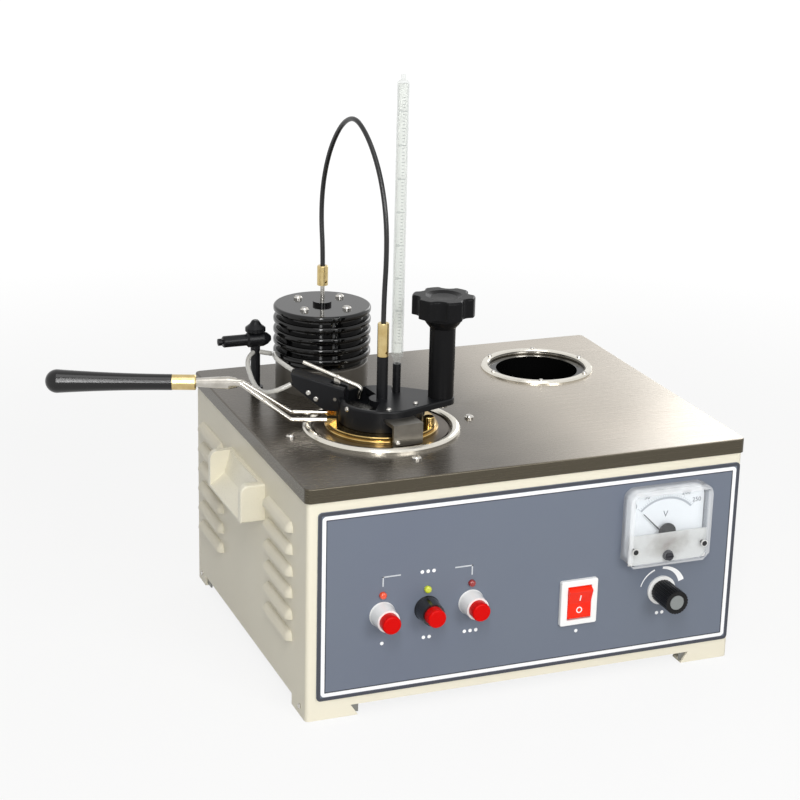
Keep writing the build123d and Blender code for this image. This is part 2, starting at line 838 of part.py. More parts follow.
# The output knob turns a potentiometer held in the panel by its nut.
with BuildPart() as control_pot:
    with BuildSketch(facing(knob_x, knob_z, -panel_sheet - sheet)):
        Circle(pot_r)
    extrude(amount=-pot_depth)
    with BuildSketch(facing(knob_x, knob_z, -panel_sheet - sheet - 1)):
        Circle(pot_bush_r)
    extrude(amount=panel_sheet + sheet + 3)
    with BuildSketch(facing(knob_x, knob_z)):
        Circle(pot_nut_r)
    extrude(amount=knob_back - 0.4)
    with BuildSketch(facing(knob_x, knob_z)):
        Circle(pot_shaft_r)
    extrude(amount=knob_front - 8)

with BuildPart() as control_knob:
    with BuildSketch(facing(knob_x, knob_z, knob_back)):
        Circle(knob_r)
        with PolarLocations(knob_r + 0.25, 24):
            Circle(0.6, mode=Mode.SUBTRACT)
    extrude(amount=knob_front - knob_back)
    with BuildSketch(facing(knob_x, knob_z, knob_back)):
        Circle(pot_shaft_r + fit)
    extrude(amount=knob_front - 8 + fit - knob_back, mode=Mode.SUBTRACT)
    with BuildSketch(facing(knob_x, knob_z, knob_front)):
        Circle(cap_r + 0.4)
        Circle(cap_r, mode=Mode.SUBTRACT)
    extrude(amount=-cap_groove, mode=Mode.SUBTRACT)

# The mains inlet at the back: a shrouded socket with three blades.
with BuildPart() as power_inlet:
    with BuildSketch(back):
        Rectangle(inlet_width, inlet_height)
    extrude(amount=inlet_proud)
    with BuildSketch(back):
        Rectangle(inlet_width - 3 - 2 * pan_gap, inlet_height - 3 - 2 * pan_gap)
    extrude(amount=-inlet_depth)
    with BuildSketch(back.offset(inlet_proud)):
        RectangleRounded(24, 16.5, 3)
    extrude(amount=-inlet_depth, mode=Mode.SUBTRACT)
    with BuildSketch(back.offset(-inlet_depth + 1)):
        with Locations((-7, -2), (7, -2), (0, 3.5)):
            Rectangle(2, 5)
    extrude(amount=inlet_depth - 3)

# --- Stove ------------------------------------------------------------------------------
section = upright(stove_x, stove_y)

with BuildPart() as stove_ring:
    with BuildSketch(section):
        profile(
            (ring_inner_r, 0), (ring_outer_r, 0), (ring_outer_r, ring_height * 0.4),
            (ring_outer_r - 0.9, ring_height * 0.78), (ring_outer_r - 2.4, ring_height),
            (ring_inner_r + 2.0, ring_height), (ring_inner_r + 0.7, ring_height * 0.75),
            (ring_inner_r, ring_height * 0.4),
        )
    revolve(axis=stove_axis)

with BuildPart() as air_bath:
    with BuildSketch(section):
        profile(
            (0, bath_bottom), (bath_outer_r, bath_bottom), (bath_outer_r, -plate_sheet - bath_flange),
            (bath_flange_r, -plate_sheet - bath_flange), (bath_flange_r, -plate_sheet),
            (bath_neck_r, -plate_sheet), (bath_neck_r, bath_rim), (bath_inner_r, bath_rim),
            (bath_inner_r, bath_floor), (0, bath_floor),
        )
    revolve(axis=stove_axis)
    with BuildSketch(deck(stove_x, stove_y, -plate_sheet)):
        with PolarLocations(stove_screw_r, 4):
            Circle(screw_r)
    extrude(amount=-bath_flange, mode=Mode.SUBTRACT)

with BuildPart() as heater_plate:
    with BuildSketch(deck(stove_x, stove_y, bath_bottom)):
        Circle(heater_r)
    extrude(amount=-heater_height)

with BuildPart() as insulation_jacket:
    jacket_bottom = bath_bottom - heater_height - jacket_floor
    with BuildSketch(section):
        profile(
            (0, jacket_bottom), (jacket_outer_r, jacket_bottom),
            (jacket_outer_r, -plate_sheet - bath_flange),
            (bath_outer_r + jacket_gap, -plate_sheet - bath_flange),
            (bath_outer_r + jacket_gap, bath_bottom), (heater_r + jacket_gap, bath_bottom),
            (heater_r + jacket_gap, bath_bottom - heater_height), (0, bath_bottom - heater_height),
        )
    revolve(axis=stove_axis)

# --- Cup --------------------------------------------------------------------------------
flange_bottom = bath_rim + seat_gap
flange_top = flange_bottom + cup_flange + cup_step
cup_floor = cup_top - cup_depth
with BuildPart() as cup_body:
    with BuildSketch(section):
        profile(
            (0, cup_floor - cup_bottom_wall), (cup_neck_r - 1.5, cup_floor - cup_bottom_wall),
            (cup_neck_r, cup_floor - cup_bottom_wall + 1.5), (cup_neck_r, flange_bottom),
            (cup_flange_r, flange_bottom), (cup_flange_r, flange_bottom + cup_flange - 0.5),
            (cup_flange_r - 0.5, flange_bottom + cup_flange), (cup_step_r, flange_bottom + cup_flange),
            (cup_step_r, flange_top - 0.5), (cup_step_r - 0.5, flange_top),
            (cup_neck_r, flange_top), (cup_neck_r, cup_top), (cup_inner_r, cup_top),
            (cup_inner_r, cup_floor), (0, cup_floor),
        )
    revolve(axis=stove_axis)
    # Two sockets on the flange take the prongs of the handle.
    for hand in (-1, 1):
        with BuildSketch(upright(stove_x, stove_y, grip_turn, hand * prong_apart)):
            with Locations((prong_start + socket_length / 2 - 0.5, prong_level - 0.3)):
                Rectangle(socket_length, 4.8)
        extrude(amount=3.0, both=True)
    # A turned boss on the flange marks how the cup stands under its lid.
    boss_x, boss_y = around(cup_boss_reach, cup_boss_turn)
    with BuildSketch(deck(stove_x + boss_x, stove_y + boss_y, flange_bottom + 1)):
        Circle(cup_boss_r)
    extrude(amount=cup_boss_top - flange_bottom - 1)
    fillet(cup_body.faces().filter_by(Axis.Z).sort_by_distance(
        deck(stove_x + boss_x, stove_y + boss_y, cup_boss_top).origin)[0].edges(), 0.8)

grip_plane = upright(stove_x, stove_y, grip_turn)
grip_out = grip_plane.x_dir
grip_side = grip_plane.z_dir
grip_base = grip_plane.origin


def along_grip(reach, level, aside=0.0):
    """A point at a reach from the stove's axis on the handle's line."""
    return grip_base + grip_out * reach + Vector(0, 0, level) - grip_side * aside


with BuildPart() as cup:
    add(cup_body.part)
    for hand in (-1, 1):
        with BuildSketch(Plane(along_grip(prong_start, prong_level, hand * prong_apart), z_dir=grip_out)):
            Circle(prong_r)
        extrude(amount=2 * socket_length, mode=Mode.SUBTRACT)

with BuildPart() as handle_fork:
    for hand in (-1, 1):
        with BuildLine() as route:
            FilletPolyline(
                along_grip(prong_start, prong_level, hand * prong_apart),
                along_grip(prong_knee, prong_level, hand * prong_apart),
                along_grip(fork_join, grip_level, hand * prong_apart * 0.3),
                along_grip(fork_join + 10, grip_level, hand * 1.2),
                radius=6,
            )
        with BuildSketch(Plane(route.line @ 0, z_dir=route.line % 0)):
            Circle(prong_r)
        sweep(path=route.line)
    with BuildSketch(Plane(along_grip(0, grip_level), x_dir=grip_out, z_dir=grip_side)):
        profile(
            (fork_join + 3, 0), (fork_join + 3, 3.4), (fork_join + 9, 4.6), (ferrule_start, 3.0),
            (ferrule_start, 0),
        )
    revolve(axis=Axis(along_grip(0, grip_level), grip_out))

with BuildPart() as handle_ferrule:
    with BuildSketch(Plane(along_grip(0, grip_level), x_dir=grip_out, z_dir=grip_side)):
        profile(
            (ferrule_start, 0), (ferrule_start, ferrule_r - 0.6), (ferrule_start + 0.8, ferrule_r),
            (grip_start, ferrule_r), (grip_start, 0),
        )
    revolve(axis=Axis(along_grip(0, grip_level), grip_out))

with BuildPart() as handle_grip:
    with BuildSketch(Plane(along_grip(0, grip_level), x_dir=grip_out, z_dir=grip_side)):
        with BuildLine():
            Line((grip_start, 0), (grip_start, grip_neck_r))
            Spline(
                (grip_start, grip_neck_r), ((grip_start + grip_end) / 2, 6.4),
                (grip_end - grip_tail_r, grip_tail_r),
            )
            RadiusArc((grip_end - grip_tail_r, grip_tail_r), (grip_end, 0), grip_tail_r)
            Line((grip_end, 0), (grip_start, 0))
        make_face()
    revolve(axis=Axis(along_grip(0, grip_level), grip_out))

# --- Rings and screws on the deck -------------------------------------------------------
with BuildPart() as well_ring:
    with BuildSketch(upright(well_x, well_y)):
        profile(
            (well_ring_inner_r, 0), (well_ring_outer_r, 0), (well_ring_outer_r, well_ring_height * 0.4),
            (well_ring_outer_r - 1, well_ring_height), (well_ring_inner_r + 0.8, well_ring_height),
            (well_ring_inner_r, well_ring_height * 0.6),
        )
    revolve(axis=post(well_x, well_y))
    with BuildSketch(deck(well_x, well_y, 0)):
        with PolarLocations(well_screw_r, well_screws, start_angle=10):
            Circle(small_screw_r + screw_gap)
    extrude(amount=2 * well_ring_height, mode=Mode.SUBTRACT)

with BuildPart() as well_liner:
    well_floor = -plate_sheet - well_depth
    with BuildSketch(upright(well_x, well_y)):
        profile(
            (0, well_floor - well_wall), (well_r + well_wall, well_floor - well_wall),
            (well_r + well_wall, -plate_sheet - well_wall), (well_flange_r, -plate_sheet - well_wall),
            (well_flange_r, -plate_sheet), (well_r, -plate_sheet), (well_r, well_floor), (0, well_floor),
        )
    revolve(axis=post(well_x, well_y))
    with BuildSketch(deck(well_x, well_y, 0)):
        with PolarLocations(well_screw_r, well_screws, start_angle=10):
            Circle(small_screw_r)
    extrude(amount=-2 * plate_sheet - well_wall, mode=Mode.SUBTRACT)

with BuildPart() as ring_screws:
    for turn in range(0, 360, 90):
        x, y = around(stove_screw_r, turn)
        screw(deck(stove_x + x, stove_y + y, 0))
    for number in range(well_screws):
        x, y = around(well_screw_r, 10 + number * 360 / well_screws)
        screw(
            deck(well_x + x, well_y + y, well_ring_height),
            small_head_r, small_head, small_screw_r, small_grip + well_ring_height,
        )

# --- Stirrer motor ----------------------------------------------------------------------
with BuildPart() as motor_body:
    with BuildSketch(deck(motor_x, motor_y, 0)):
        Circle(motor_body_r)
    extrude(amount=motor_body_top)
    fillet(motor_body.faces().sort_by(Axis.Z)[-1].edges(), 0.8)

with BuildPart() as motor_housing:
    with BuildSketch(deck(motor_x, motor_y, motor_body_top)):
        Circle(fin_root_r)
    extrude(amount=motor_top - motor_body_top)
    for number in range(fin_count):
        fin_top = motor_top - number * fin_pitch
        with BuildSketch(deck(motor_x, motor_y, fin_top - fin_sheet)):
            Circle(fin_r)
        extrude(amount=fin_sheet)
    rims = motor_housing.faces().filter_by(GeomType.CYLINDER).filter_by(lambda f: f.radius > fin_r - 0.1)
    fillet(rims.edges().filter_by(GeomType.CIRCLE), 1.8)
    with BuildSketch(deck(motor_x, motor_y, motor_top)):
        Circle(7)
    extrude(amount=2.5)
    with BuildSketch(deck(motor_x, motor_y, motor_top + 2.5)):
        Circle(shaft_r + fit)
    extrude(amount=-motor_top + shaft_bottom - 2.5 - fit, mode=Mode.SUBTRACT)
    with BuildSketch(deck(motor_x, motor_y, motor_top)):
        with PolarLocations(motor_screw_r, 4, start_angle=motor_screw_turn):
            Circle(screw_r)
    extrude(amount=-screw_grip - 1, mode=Mode.SUBTRACT)

with BuildPart() as motor_screws:
    for number in range(4):
        x, y = around(motor_screw_r, motor_screw_turn + 90 * number)
        screw(deck(motor_x + x, motor_y + y, motor_top))

with BuildPart() as motor_shaft:
    with BuildSketch(deck(motor_x, motor_y, shaft_bottom)):
        Circle(shaft_r)
    extrude(amount=drive_coupling_bottom + 5.5 - shaft_bottom)


def coupling(x, y, bottom, top, lower_r, upper_r, lower, upper):
    """Build a round coupling with a bore in each end and a screw hole in the side."""
    with BuildPart() as sleeve:
        with BuildSketch(deck(x, y, bottom)):
            Circle(drive_coupling_r)
        extrude(amount=top - bottom)
        chamfer(sleeve.faces().sort_by(Axis.Z)[-1].edges(), 0.5)
        with BuildSketch(deck(x, y, bottom)):
            Circle(lower_r)
        extrude(amount=lower, mode=Mode.SUBTRACT)
        with BuildSketch(deck(x, y, top)):
            Circle(upper_r)
        extrude(amount=-upper, mode=Mode.SUBTRACT)
        with BuildSketch(Plane((case_x + x, case_y + y, deck_height + bottom + 3), z_dir=(0.34, -0.94, 0))):
            Circle(1.0)
        extrude(amount=2 * drive_coupling_r, mode=Mode.SUBTRACT)
    return sleeve


motor_coupling = coupling(
    motor_x, motor_y, drive_coupling_bottom, drive_coupling_top, shaft_r, cable_r + fit, 5.5, 6.0)

# --- Gas valve --------------------------------------------------------------------------
valve_axis_line = Axis((case_x + valve_x, case_y + valve_y, deck_height + valve_level), (1, 0, 0))
with BuildPart() as valve_post:
    with BuildSketch(deck(valve_x, valve_y, 0)):
        Circle(valve_post_r + 2)
    extrude(amount=2.2)
    with BuildSketch(deck(valve_x, valve_y, 0)):
        Circle(valve_post_r)
    extrude(amount=valve_level - valve_barrel_r)
    for turn in valve_outlet_turns:
        out = upright(valve_x, valve_y, turn)
        with BuildSketch(Plane(out.origin + Vector(0, 0, valve_outlet), z_dir=out.x_dir)):
            Circle(nipple_r)
        extrude(amount=valve_post_r + 5)

with BuildPart() as valve_body:
    with BuildSketch(upright(valve_x, valve_y)):
        profile(
            (valve_left - valve_x - 4, valve_level), (valve_left - valve_x - 3.4, valve_level + 2.6),
            (valve_left - valve_x - 1, valve_level + 2.6), (valve_left - valve_x - 0.6, valve_level + 1.6),
            (valve_left - valve_x, valve_level + 1.6),
            (valve_left - valve_x, valve_level + valve_barrel_r - 0.8),
            (valve_left - valve_x + 0.8, valve_level + valve_barrel_r), (-7, valve_level + valve_barrel_r),
            (-5.5, valve_level + 5.6), (5.5, valve_level + 5.6), (9, valve_level + valve_barrel_r),
            (valve_right - valve_x, valve_level + 2), (valve_right - valve_x, valve_level),
        )
    revolve(axis=valve_axis_line)
    with BuildSketch(deck(valve_x, valve_y, 0)):
        Circle(valve_post_r)
    extrude(amount=valve_level - valve_barrel_r, mode=Mode.SUBTRACT)
    with BuildSketch(deck(valve_x, valve_y, valve_level)):
        Circle(3.0)
    extrude(amount=6.2)
    with BuildSketch(deck(valve_x, valve_y, valve_level + 6.2)):
        Circle(1.2)
    extrude(amount=4.0)

with BuildPart() as valve_knob:
    knob_bottom = valve_level + 6.3
    with BuildSketch(upright(valve_x, valve_y)):
        profile(
            (0, knob_bottom), (7.4, knob_bottom), (7.4, knob_bottom + 2.6), (4.4, knob_bottom + 5.0),
            (2.8, valve_cone_top - 0.6), (2.0, valve_cone_top), (0, valve_cone_top),
        )
    revolve(axis=post(valve_x, valve_y))
    with BuildSketch(deck(valve_x, valve_y, knob_bottom)):
        Circle(1.2 + fit)
    extrude(amount=4.0, mode=Mode.SUBTRACT)
    with BuildSketch(deck(valve_x, valve_y, knob_bottom)):
        with PolarLocations(7.8, 12):
            Circle(0.9)
    extrude(amount=2.6, mode=Mode.SUBTRACT)

# --- Lid --------------------------------------------------------------------------------
lid_bottom = cup_top + 0.05
knob_place = around(shutter_knob_reach, knob_turn_place)
block_plane = upright(stove_x, stove_y, block_turn)

with BuildPart() as lid:
    with BuildSketch(section):
        profile(
            (0, lid_bottom), (cup_neck_r + lid_skirt_gap, lid_bottom),
            (cup_neck_r + lid_skirt_gap, lid_skirt_bottom), (lid_r, lid_skirt_bottom), (lid_r, lid_rim_top),
            (lid_r - lid_rim_wall, lid_rim_top), (lid_r - lid_rim_wall, lid_plate_top),
            (boss_r, lid_plate_top), (boss_r, lid_rim_top), (0, lid_rim_top),
        )
    revolve(axis=stove_axis)
    with BuildSketch(deck(stove_x, stove_y, lid_plate_top)):
        sector(lid_r - lid_rim_wall - 2, lid_r + 2, knob_turn_place, 27)
    extrude(amount=lid_rim_top - lid_plate_top, mode=Mode.SUBTRACT)
    for turn in port_turns:
        with BuildSketch(deck(stove_x, stove_y, 0)):
            sector(port_inner_r, port_outer_r, turn, port_half)
        extrude(amount=lid_rim_top, mode=Mode.SUBTRACT)
    with BuildSketch(deck(stove_x, stove_y, lid_plate_top)):
        Circle(column_r)
    extrude(amount=lid_rim_top, mode=Mode.SUBTRACT)
    with BuildSketch(deck(stove_x, stove_y, 0)):
        Circle(stirrer_r + fit)
        with Locations((thermo_x, thermo_y)):
            Circle(thermo_stem_r + fit)
    extrude(amount=lid_rim_top, mode=Mode.SUBTRACT)

with BuildPart() as lid_cover:
    with BuildSketch(deck(stove_x, stove_y, lid_rim_top)):
        with BuildSketch(mode=Mode.PRIVATE) as discs:
            Circle(lid_r)
            with Locations(knob_place):
                Circle(9.5)
        make_hull(discs.edges())
    extrude(amount=cover_top - lid_rim_top)
    fillet(lid_cover.faces().sort_by(Axis.Z)[-1].edges(), 1.2)
    with BuildSketch(deck(stove_x, stove_y, 0)):
        sector(*cover_slot, cover_slot_turn, cover_slot_half)
        with Locations(Location((0, 0), block_turn)):
            with Locations((lid_r - 1, 0)):
                Rectangle(9, 2 * block_half)
        Circle(column_r)
        with Locations((thermo_x, thermo_y)):
            Circle(holder_r)
        with Locations(knob_place):
            Circle(spindle_r + fit)
    extrude(amount=2 * cover_top, mode=Mode.SUBTRACT)
    for turn in cover_screw_turns:
        x, y = around(cover_screw_r, turn)
        with BuildSketch(deck(stove_x + x, stove_y + y, 0)):
            Circle(small_screw_r)
        extrude(amount=2 * cover_top, mode=Mode.SUBTRACT)
    with BuildSketch(upright(stove_x, stove_y, side_screw_turn)):
        with Locations((lid_r, side_screw_z)):
            Rectangle(2 * small_grip, 2 * small_screw_r)
    extrude(amount=small_screw_r, both=True, mode=Mode.SUBTRACT)

with BuildPart() as stirrer_column:
    with BuildSketch(deck(stove_x, stove_y, lid_plate_top)):
        Circle(column_r)
        Circle(stirrer_r + fit, mode=Mode.SUBTRACT)
    extrude(amount=column_top - lid_plate_top)

with BuildPart() as thermometer_holder:
    with BuildSketch(deck(stove_x + thermo_x, stove_y + thermo_y, lid_plate_top)):
        Circle(holder_r)
        Circle(thermo_stem_r + fit, mode=Mode.SUBTRACT)
    extrude(amount=holder_top - lid_plate_top)

clip_section = upright(stove_x, stove_y, clip_turn)
clip_face = Plane(clip_section.from_local_coords((clip_reach, clip_screw_z, clip_screw_aside)),
                  z_dir=clip_section.x_dir)
with BuildPart() as clip_plate:
    with BuildSketch(clip_section):
        profile(
            (lid_r - 4, clip_top), (lid_r - 4, clip_top - clip_sheet),
            (clip_reach - clip_sheet, clip_top - clip_sheet),
            (clip_reach - clip_sheet, clip_bottom), (clip_reach, clip_bottom), (clip_reach, clip_top),
        )
    extrude(amount=clip_width / 2, both=True)
    with BuildSketch(deck(stove_x, stove_y, 0)):
        Circle(lid_r)
    extrude(amount=2 * clip_top, mode=Mode.SUBTRACT)
    with BuildSketch(clip_face):
        Circle(small_screw_r)
    extrude(amount=-clip_sheet, mode=Mode.SUBTRACT)

# The block on the lid's side carries the burner between its ears.
block_faces = [
    Plane(block_plane.from_local_coords((reach, height, block_half * block_front)),
          z_dir=block_plane.z_dir * block_front)
    for reach, height in block_screws
]
with BuildPart() as burner_block:
    with BuildSketch(block_plane):
        profile((25.5, 17), (25.5, 11), (40, 11), (62, 26), (64, 35.5), (25.5, 27.3))
    extrude(amount=block_half, both=True)
    with BuildSketch(stove_level):
        Circle(lid_r)
    extrude(amount=lid_rim_top, mode=Mode.SUBTRACT)
    fillet(burner_block.edges().filter_by(lambda e: e.length > 30).sort_by(Axis.Z)[-2:], 1.0)
    with BuildSketch(block_plane):
        with Locations((28.5, 26.5)):
            Rectangle(17, 27)
    extrude(amount=block_slot, both=True, mode=Mode.SUBTRACT)
    with BuildSketch(block_plane):
        with Locations((burner_pivot_r, burner_pivot_z)):
            Circle(burner_pin_r + 0.05)
    extrude(amount=block_half + 1, both=True, mode=Mode.SUBTRACT)
    for face in block_faces:
        with BuildSketch(face):
            Circle(small_screw_r)
        extrude(amount=-block_screw_grip, mode=Mode.SUBTRACT)
    for base, heading in ((upper_nipple, upper_heading), (lower_nipple, lower_heading)):
        with BuildSketch(Plane(nipple_base(base) - heading * 2, z_dir=heading)):
            Circle(nipple_r)
        extrude(amount=nipple_length + 2)

with BuildPart() as lid_screws:
    for turn in cover_screw_turns:
        x, y = around(cover_screw_r, turn)
        screw(
            deck(stove_x + x, stove_y + y, cover_top), small_head_r, small_head, small_screw_r,
            cover_top - lid_rim_top,
        )
    out = upright(stove_x, stove_y, side_screw_turn)
    screw(
        Plane(out.origin + out.x_dir * lid_r + Vector(0, 0, side_screw_z), z_dir=out.x_dir),
        small_head_r, small_head, small_screw_r, small_grip - 1.0,
    )
    for face in block_faces:
        screw(face, small_head_r, small_head, small_screw_r, block_screw_grip)
    screw(clip_face, small_head_r, small_head + 0.6, small_screw_r, clip_sheet)

# --- Shutter ----------------------------------------------------------------------------
slide_bottom = lid_plate_top + slide_gap
slide_top = slide_bottom + shutter_sheet
with BuildPart() as shutter_plate:
    with BuildSketch(deck(stove_x, stove_y, slide_bottom)):
        Circle(boss_r + 3.5)
        sector(boss_r, shutter_r, 218, 98)
        with Locations(Location((0, 0), knob_turn_place + shutter_turn / 2)):
            with Locations((17, 0)):
                Rectangle(22, 7.2)
            with Locations((30.5, 0)):
                Rectangle(10, 9.4)
            with Locations((shutter_knob_reach - crank_r + 1.85, 0)):
                Rectangle(3.7, 2 * (crank_pin_r + crank_slot_gap), mode=Mode.SUBTRACT)
                with Locations((-1.85, 0), (1.85, 0)):
                    Circle(crank_pin_r + crank_slot_gap, mode=Mode.SUBTRACT)
        Circle(boss_r + slide_gap, mode=Mode.SUBTRACT)
    extrude(amount=shutter_sheet)
    for turn in port_turns:
        with BuildSketch(deck(stove_x, stove_y, slide_bottom)):
            sector(port_inner_r - 0.2, port_outer_r + 0.2, turn + shutter_turn, window_half)
        extrude(amount=shutter_sheet, mode=Mode.SUBTRACT)

knob_x_place = stove_x + knob_place[0]
knob_y_place = stove_y + knob_place[1]
pin_x, pin_y = around(crank_r, knob_turn_place + 180 - crank_half)
with BuildPart() as shutter_crank:
    with BuildSketch(deck(knob_x_place, knob_y_place, slide_top + 0.4)):
        with BuildSketch(mode=Mode.PRIVATE) as ends:
            Circle(5)
            with Locations((pin_x, pin_y)):
                Circle(3)
        make_hull(ends.edges())
    extrude(amount=crank_sheet)
    with BuildSketch(deck(knob_x_place, knob_y_place, slide_top + 0.4)):
        Circle(spindle_r)
    extrude(amount=30 - slide_top)
    with BuildSketch(deck(knob_x_place + pin_x, knob_y_place + pin_y, slide_bottom + 0.3)):
        Circle(crank_pin_r)
    extrude(amount=shutter_sheet + 1.0)

with BuildPart() as shutter_knob:
    with BuildSketch(upright(knob_x_place, knob_y_place)):
        profile(
            (0, cover_top + 0.1), (stem_r, cover_top + 0.1), (stem_r, stem_top - 3), (hub_r - 2, stem_top),
            (hub_r, stem_top + 3), (hub_r, hub_top), (0, hub_top),
        )
    revolve(axis=post(knob_x_place, knob_y_place))
    with BuildSketch(deck(knob_x_place, knob_y_place, hub_top)):
        Circle(star_r)
        with PolarLocations(star_r + 3.4, star_lobes, start_angle=star_turn):
            Circle(7.0, mode=Mode.SUBTRACT)
    extrude(amount=star_top - hub_top)
    lobes = shutter_knob.edges().filter_by(Axis.Z).filter_by(lambda e: e.length > star_top - hub_top - 1)
    fillet(lobes, 2.5)
    fillet(shutter_knob.faces().sort_by(Axis.Z)[-1].edges(), 1.6)
    with BuildSketch(upright(knob_x_place, knob_y_place)):
        profile((0, star_top - 1.6), (9, star_top - 1.2), (13, star_top + 0.1), (0, star_top + 0.1))
    revolve(axis=post(knob_x_place, knob_y_place), mode=Mode.SUBTRACT)
    with BuildSketch(deck(knob_x_place, knob_y_place, cover_top)):
        Circle(spindle_r)
    extrude(amount=30.4 - cover_top, mode=Mode.SUBTRACT)

# --- Burner -----------------------------------------------------------------------------
with BuildPart() as burner_tube:
    with BuildLine(block_plane) as bend:
        FilletPolyline((57, 42), (15.0, 27.7), (16.5, 20), radius=2.6)
    with BuildSketch(Plane(bend.line @ 0, z_dir=bend.line % 0)):
        Circle(burner_tube_r)
    sweep(path=bend.line)
    with BuildSketch(block_plane):
        with BuildSketch(mode=Mode.PRIVATE) as lever:
            with Locations((burner_pivot_r, burner_pivot_z)):
                Circle(2.6)
            with Locations((burner_pivot_r + 0.5, 33.4)):
                Circle(1.6)
        make_hull(lever.edges())
    extrude(amount=1.3, both=True)
    with BuildSketch(block_plane):
        with Locations((burner_pivot_r, burner_pivot_z)):
            Circle(2.6)
    extrude(amount=block_slot - 0.15, both=True)
    with BuildSketch(block_plane):
        with Locations((burner_pivot_r, burner_pivot_z)):
            Circle(burner_pin_r)
    extrude(amount=block_half, both=True)

# --- Stirrer ----------------------------------------------------------------------------
with BuildPart() as stirrer:
    with BuildSketch(deck(stove_x, stove_y, stirrer_bottom)):
        Circle(stirrer_r)
    extrude(amount=stirrer_top - stirrer_bottom)
    for level, reach, blades in ((-35.5, blade_r, 4), (-12, small_blade_r, 3)):
        with BuildSketch(deck(stove_x, stove_y, level - 2.5)):
            Circle(3.0)
        extrude(amount=5)
        for number in range(blades):
            out = upright(stove_x, stove_y, number * 360 / blades)
            with BuildSketch(Plane(out.origin + Vector(0, 0, level), x_dir=out.z_dir, z_dir=out.x_dir)):
                Rectangle(1.0, 6.4, rotation=38)
            extrude(amount=reach)

stirrer_coupling = coupling(
    stove_x, stove_y, column_top + 0.3, coupling_top, stirrer_r, cable_r + fit,
    stirrer_top - column_top - 0.3, coupling_bore_depth)

# --- Thermometer ------------------------------------------------------------------------
thermo_axis = post(stove_x + thermo_x, stove_y + thermo_y)
with BuildPart() as thermometer_glass:
    with BuildSketch(upright(stove_x + thermo_x, stove_y + thermo_y)):
        profile(
            (0, thermo_bulb), (1.4, thermo_bulb), (thermo_stem_r, thermo_bulb + 1),
            (thermo_stem_r, thermo_shoulder),
            (thermo_tube_r, thermo_shoulder + 3), (thermo_tube_r, thermo_top - 5), (1.8, thermo_top - 3),
            (1.8, thermo_top), (0, thermo_top), (0, thermo_top - 6),
            (thermo_tube_r - thermo_wall, thermo_top - 6),
            (thermo_tube_r - thermo_wall, thermo_shoulder + 5), (0, thermo_shoulder + 5),
        )
    revolve(axis=thermo_axis)

with BuildPart() as thermometer_scale:
    with BuildSketch(deck(stove_x + thermo_x, stove_y + thermo_y, thermo_shoulder + 5)):
        Rectangle(5.6, 0.7, rotation=-21)
    extrude(amount=thermo_top - thermo_shoulder - 11)


# --- Flexible shaft and hoses -----------------------------------------------------------
def bends(points):
    """The bend at each corner of a route: as wide as its shorter run allows."""
    found = []
    for before, corner, after in zip(points, points[1:], points[2:]):
        run_in = Vector(*corner) - Vector(*before)
        run_out = Vector(*after) - Vector(*corner)
        half_turn = radians(run_in.get_angle(run_out)) / 2
        found.append(0.45 * min(run_in.length, run_out.length) / tan(half_turn))
    return found


def tube(points, radius):
    """Sweep a round section along straight runs joined by bends."""
    with BuildPart() as swept:
        with BuildLine() as route:
            FilletPolyline(*points, radius=bends(points))
        with BuildSketch(Plane(route.line @ 0, z_dir=route.line % 0)):
            Circle(radius)
        sweep(path=route.line)
    return swept


cable_heading = Vector(stove_x - motor_x, stove_y - motor_y, 0).normalized()
cable_base = Vector(case_x + motor_x, case_y + motor_y, deck_height)
cable_points = [tuple(cable_base + cable_heading * s + Vector(0, 0, z)) for s, z in cable_route]
flexible_shaft = tube(cable_points, cable_r)


def hose(outlet_turn, route, base, heading):
    """Build a hose that is pushed on the valve's outlet and on the burner's nipple."""
    out = upright(valve_x, valve_y, outlet_turn)
    outlet = out.origin + Vector(0, 0, valve_outlet)
    middle = [(case_x + x, case_y + y, deck_height + z) for x, y, z in route]
    near = nipple_base(base)
    last = [tuple(near + heading * 12), tuple(near + heading * 2.5)]
    points = [tuple(outlet + out.x_dir * hose_start)] + middle + last
    pipe = tube(points, hose_r)
    with BuildPart() as bored:
        add(pipe.part)
        with BuildSketch(Plane(outlet, z_dir=out.x_dir)):
            Circle(nipple_r)
        extrude(amount=valve_post_r + 5, mode=Mode.SUBTRACT)
        with BuildSketch(Plane(near, z_dir=heading)):
            Circle(nipple_r)
        extrude(amount=nipple_length, mode=Mode.SUBTRACT)
    return bored


gas_hose_upper = hose(valve_outlet_turns[0], upper_route, upper_nipple, upper_heading)
gas_hose_lower = hose(valve_outlet_turns[1], lower_route, lower_nipple, lower_heading)

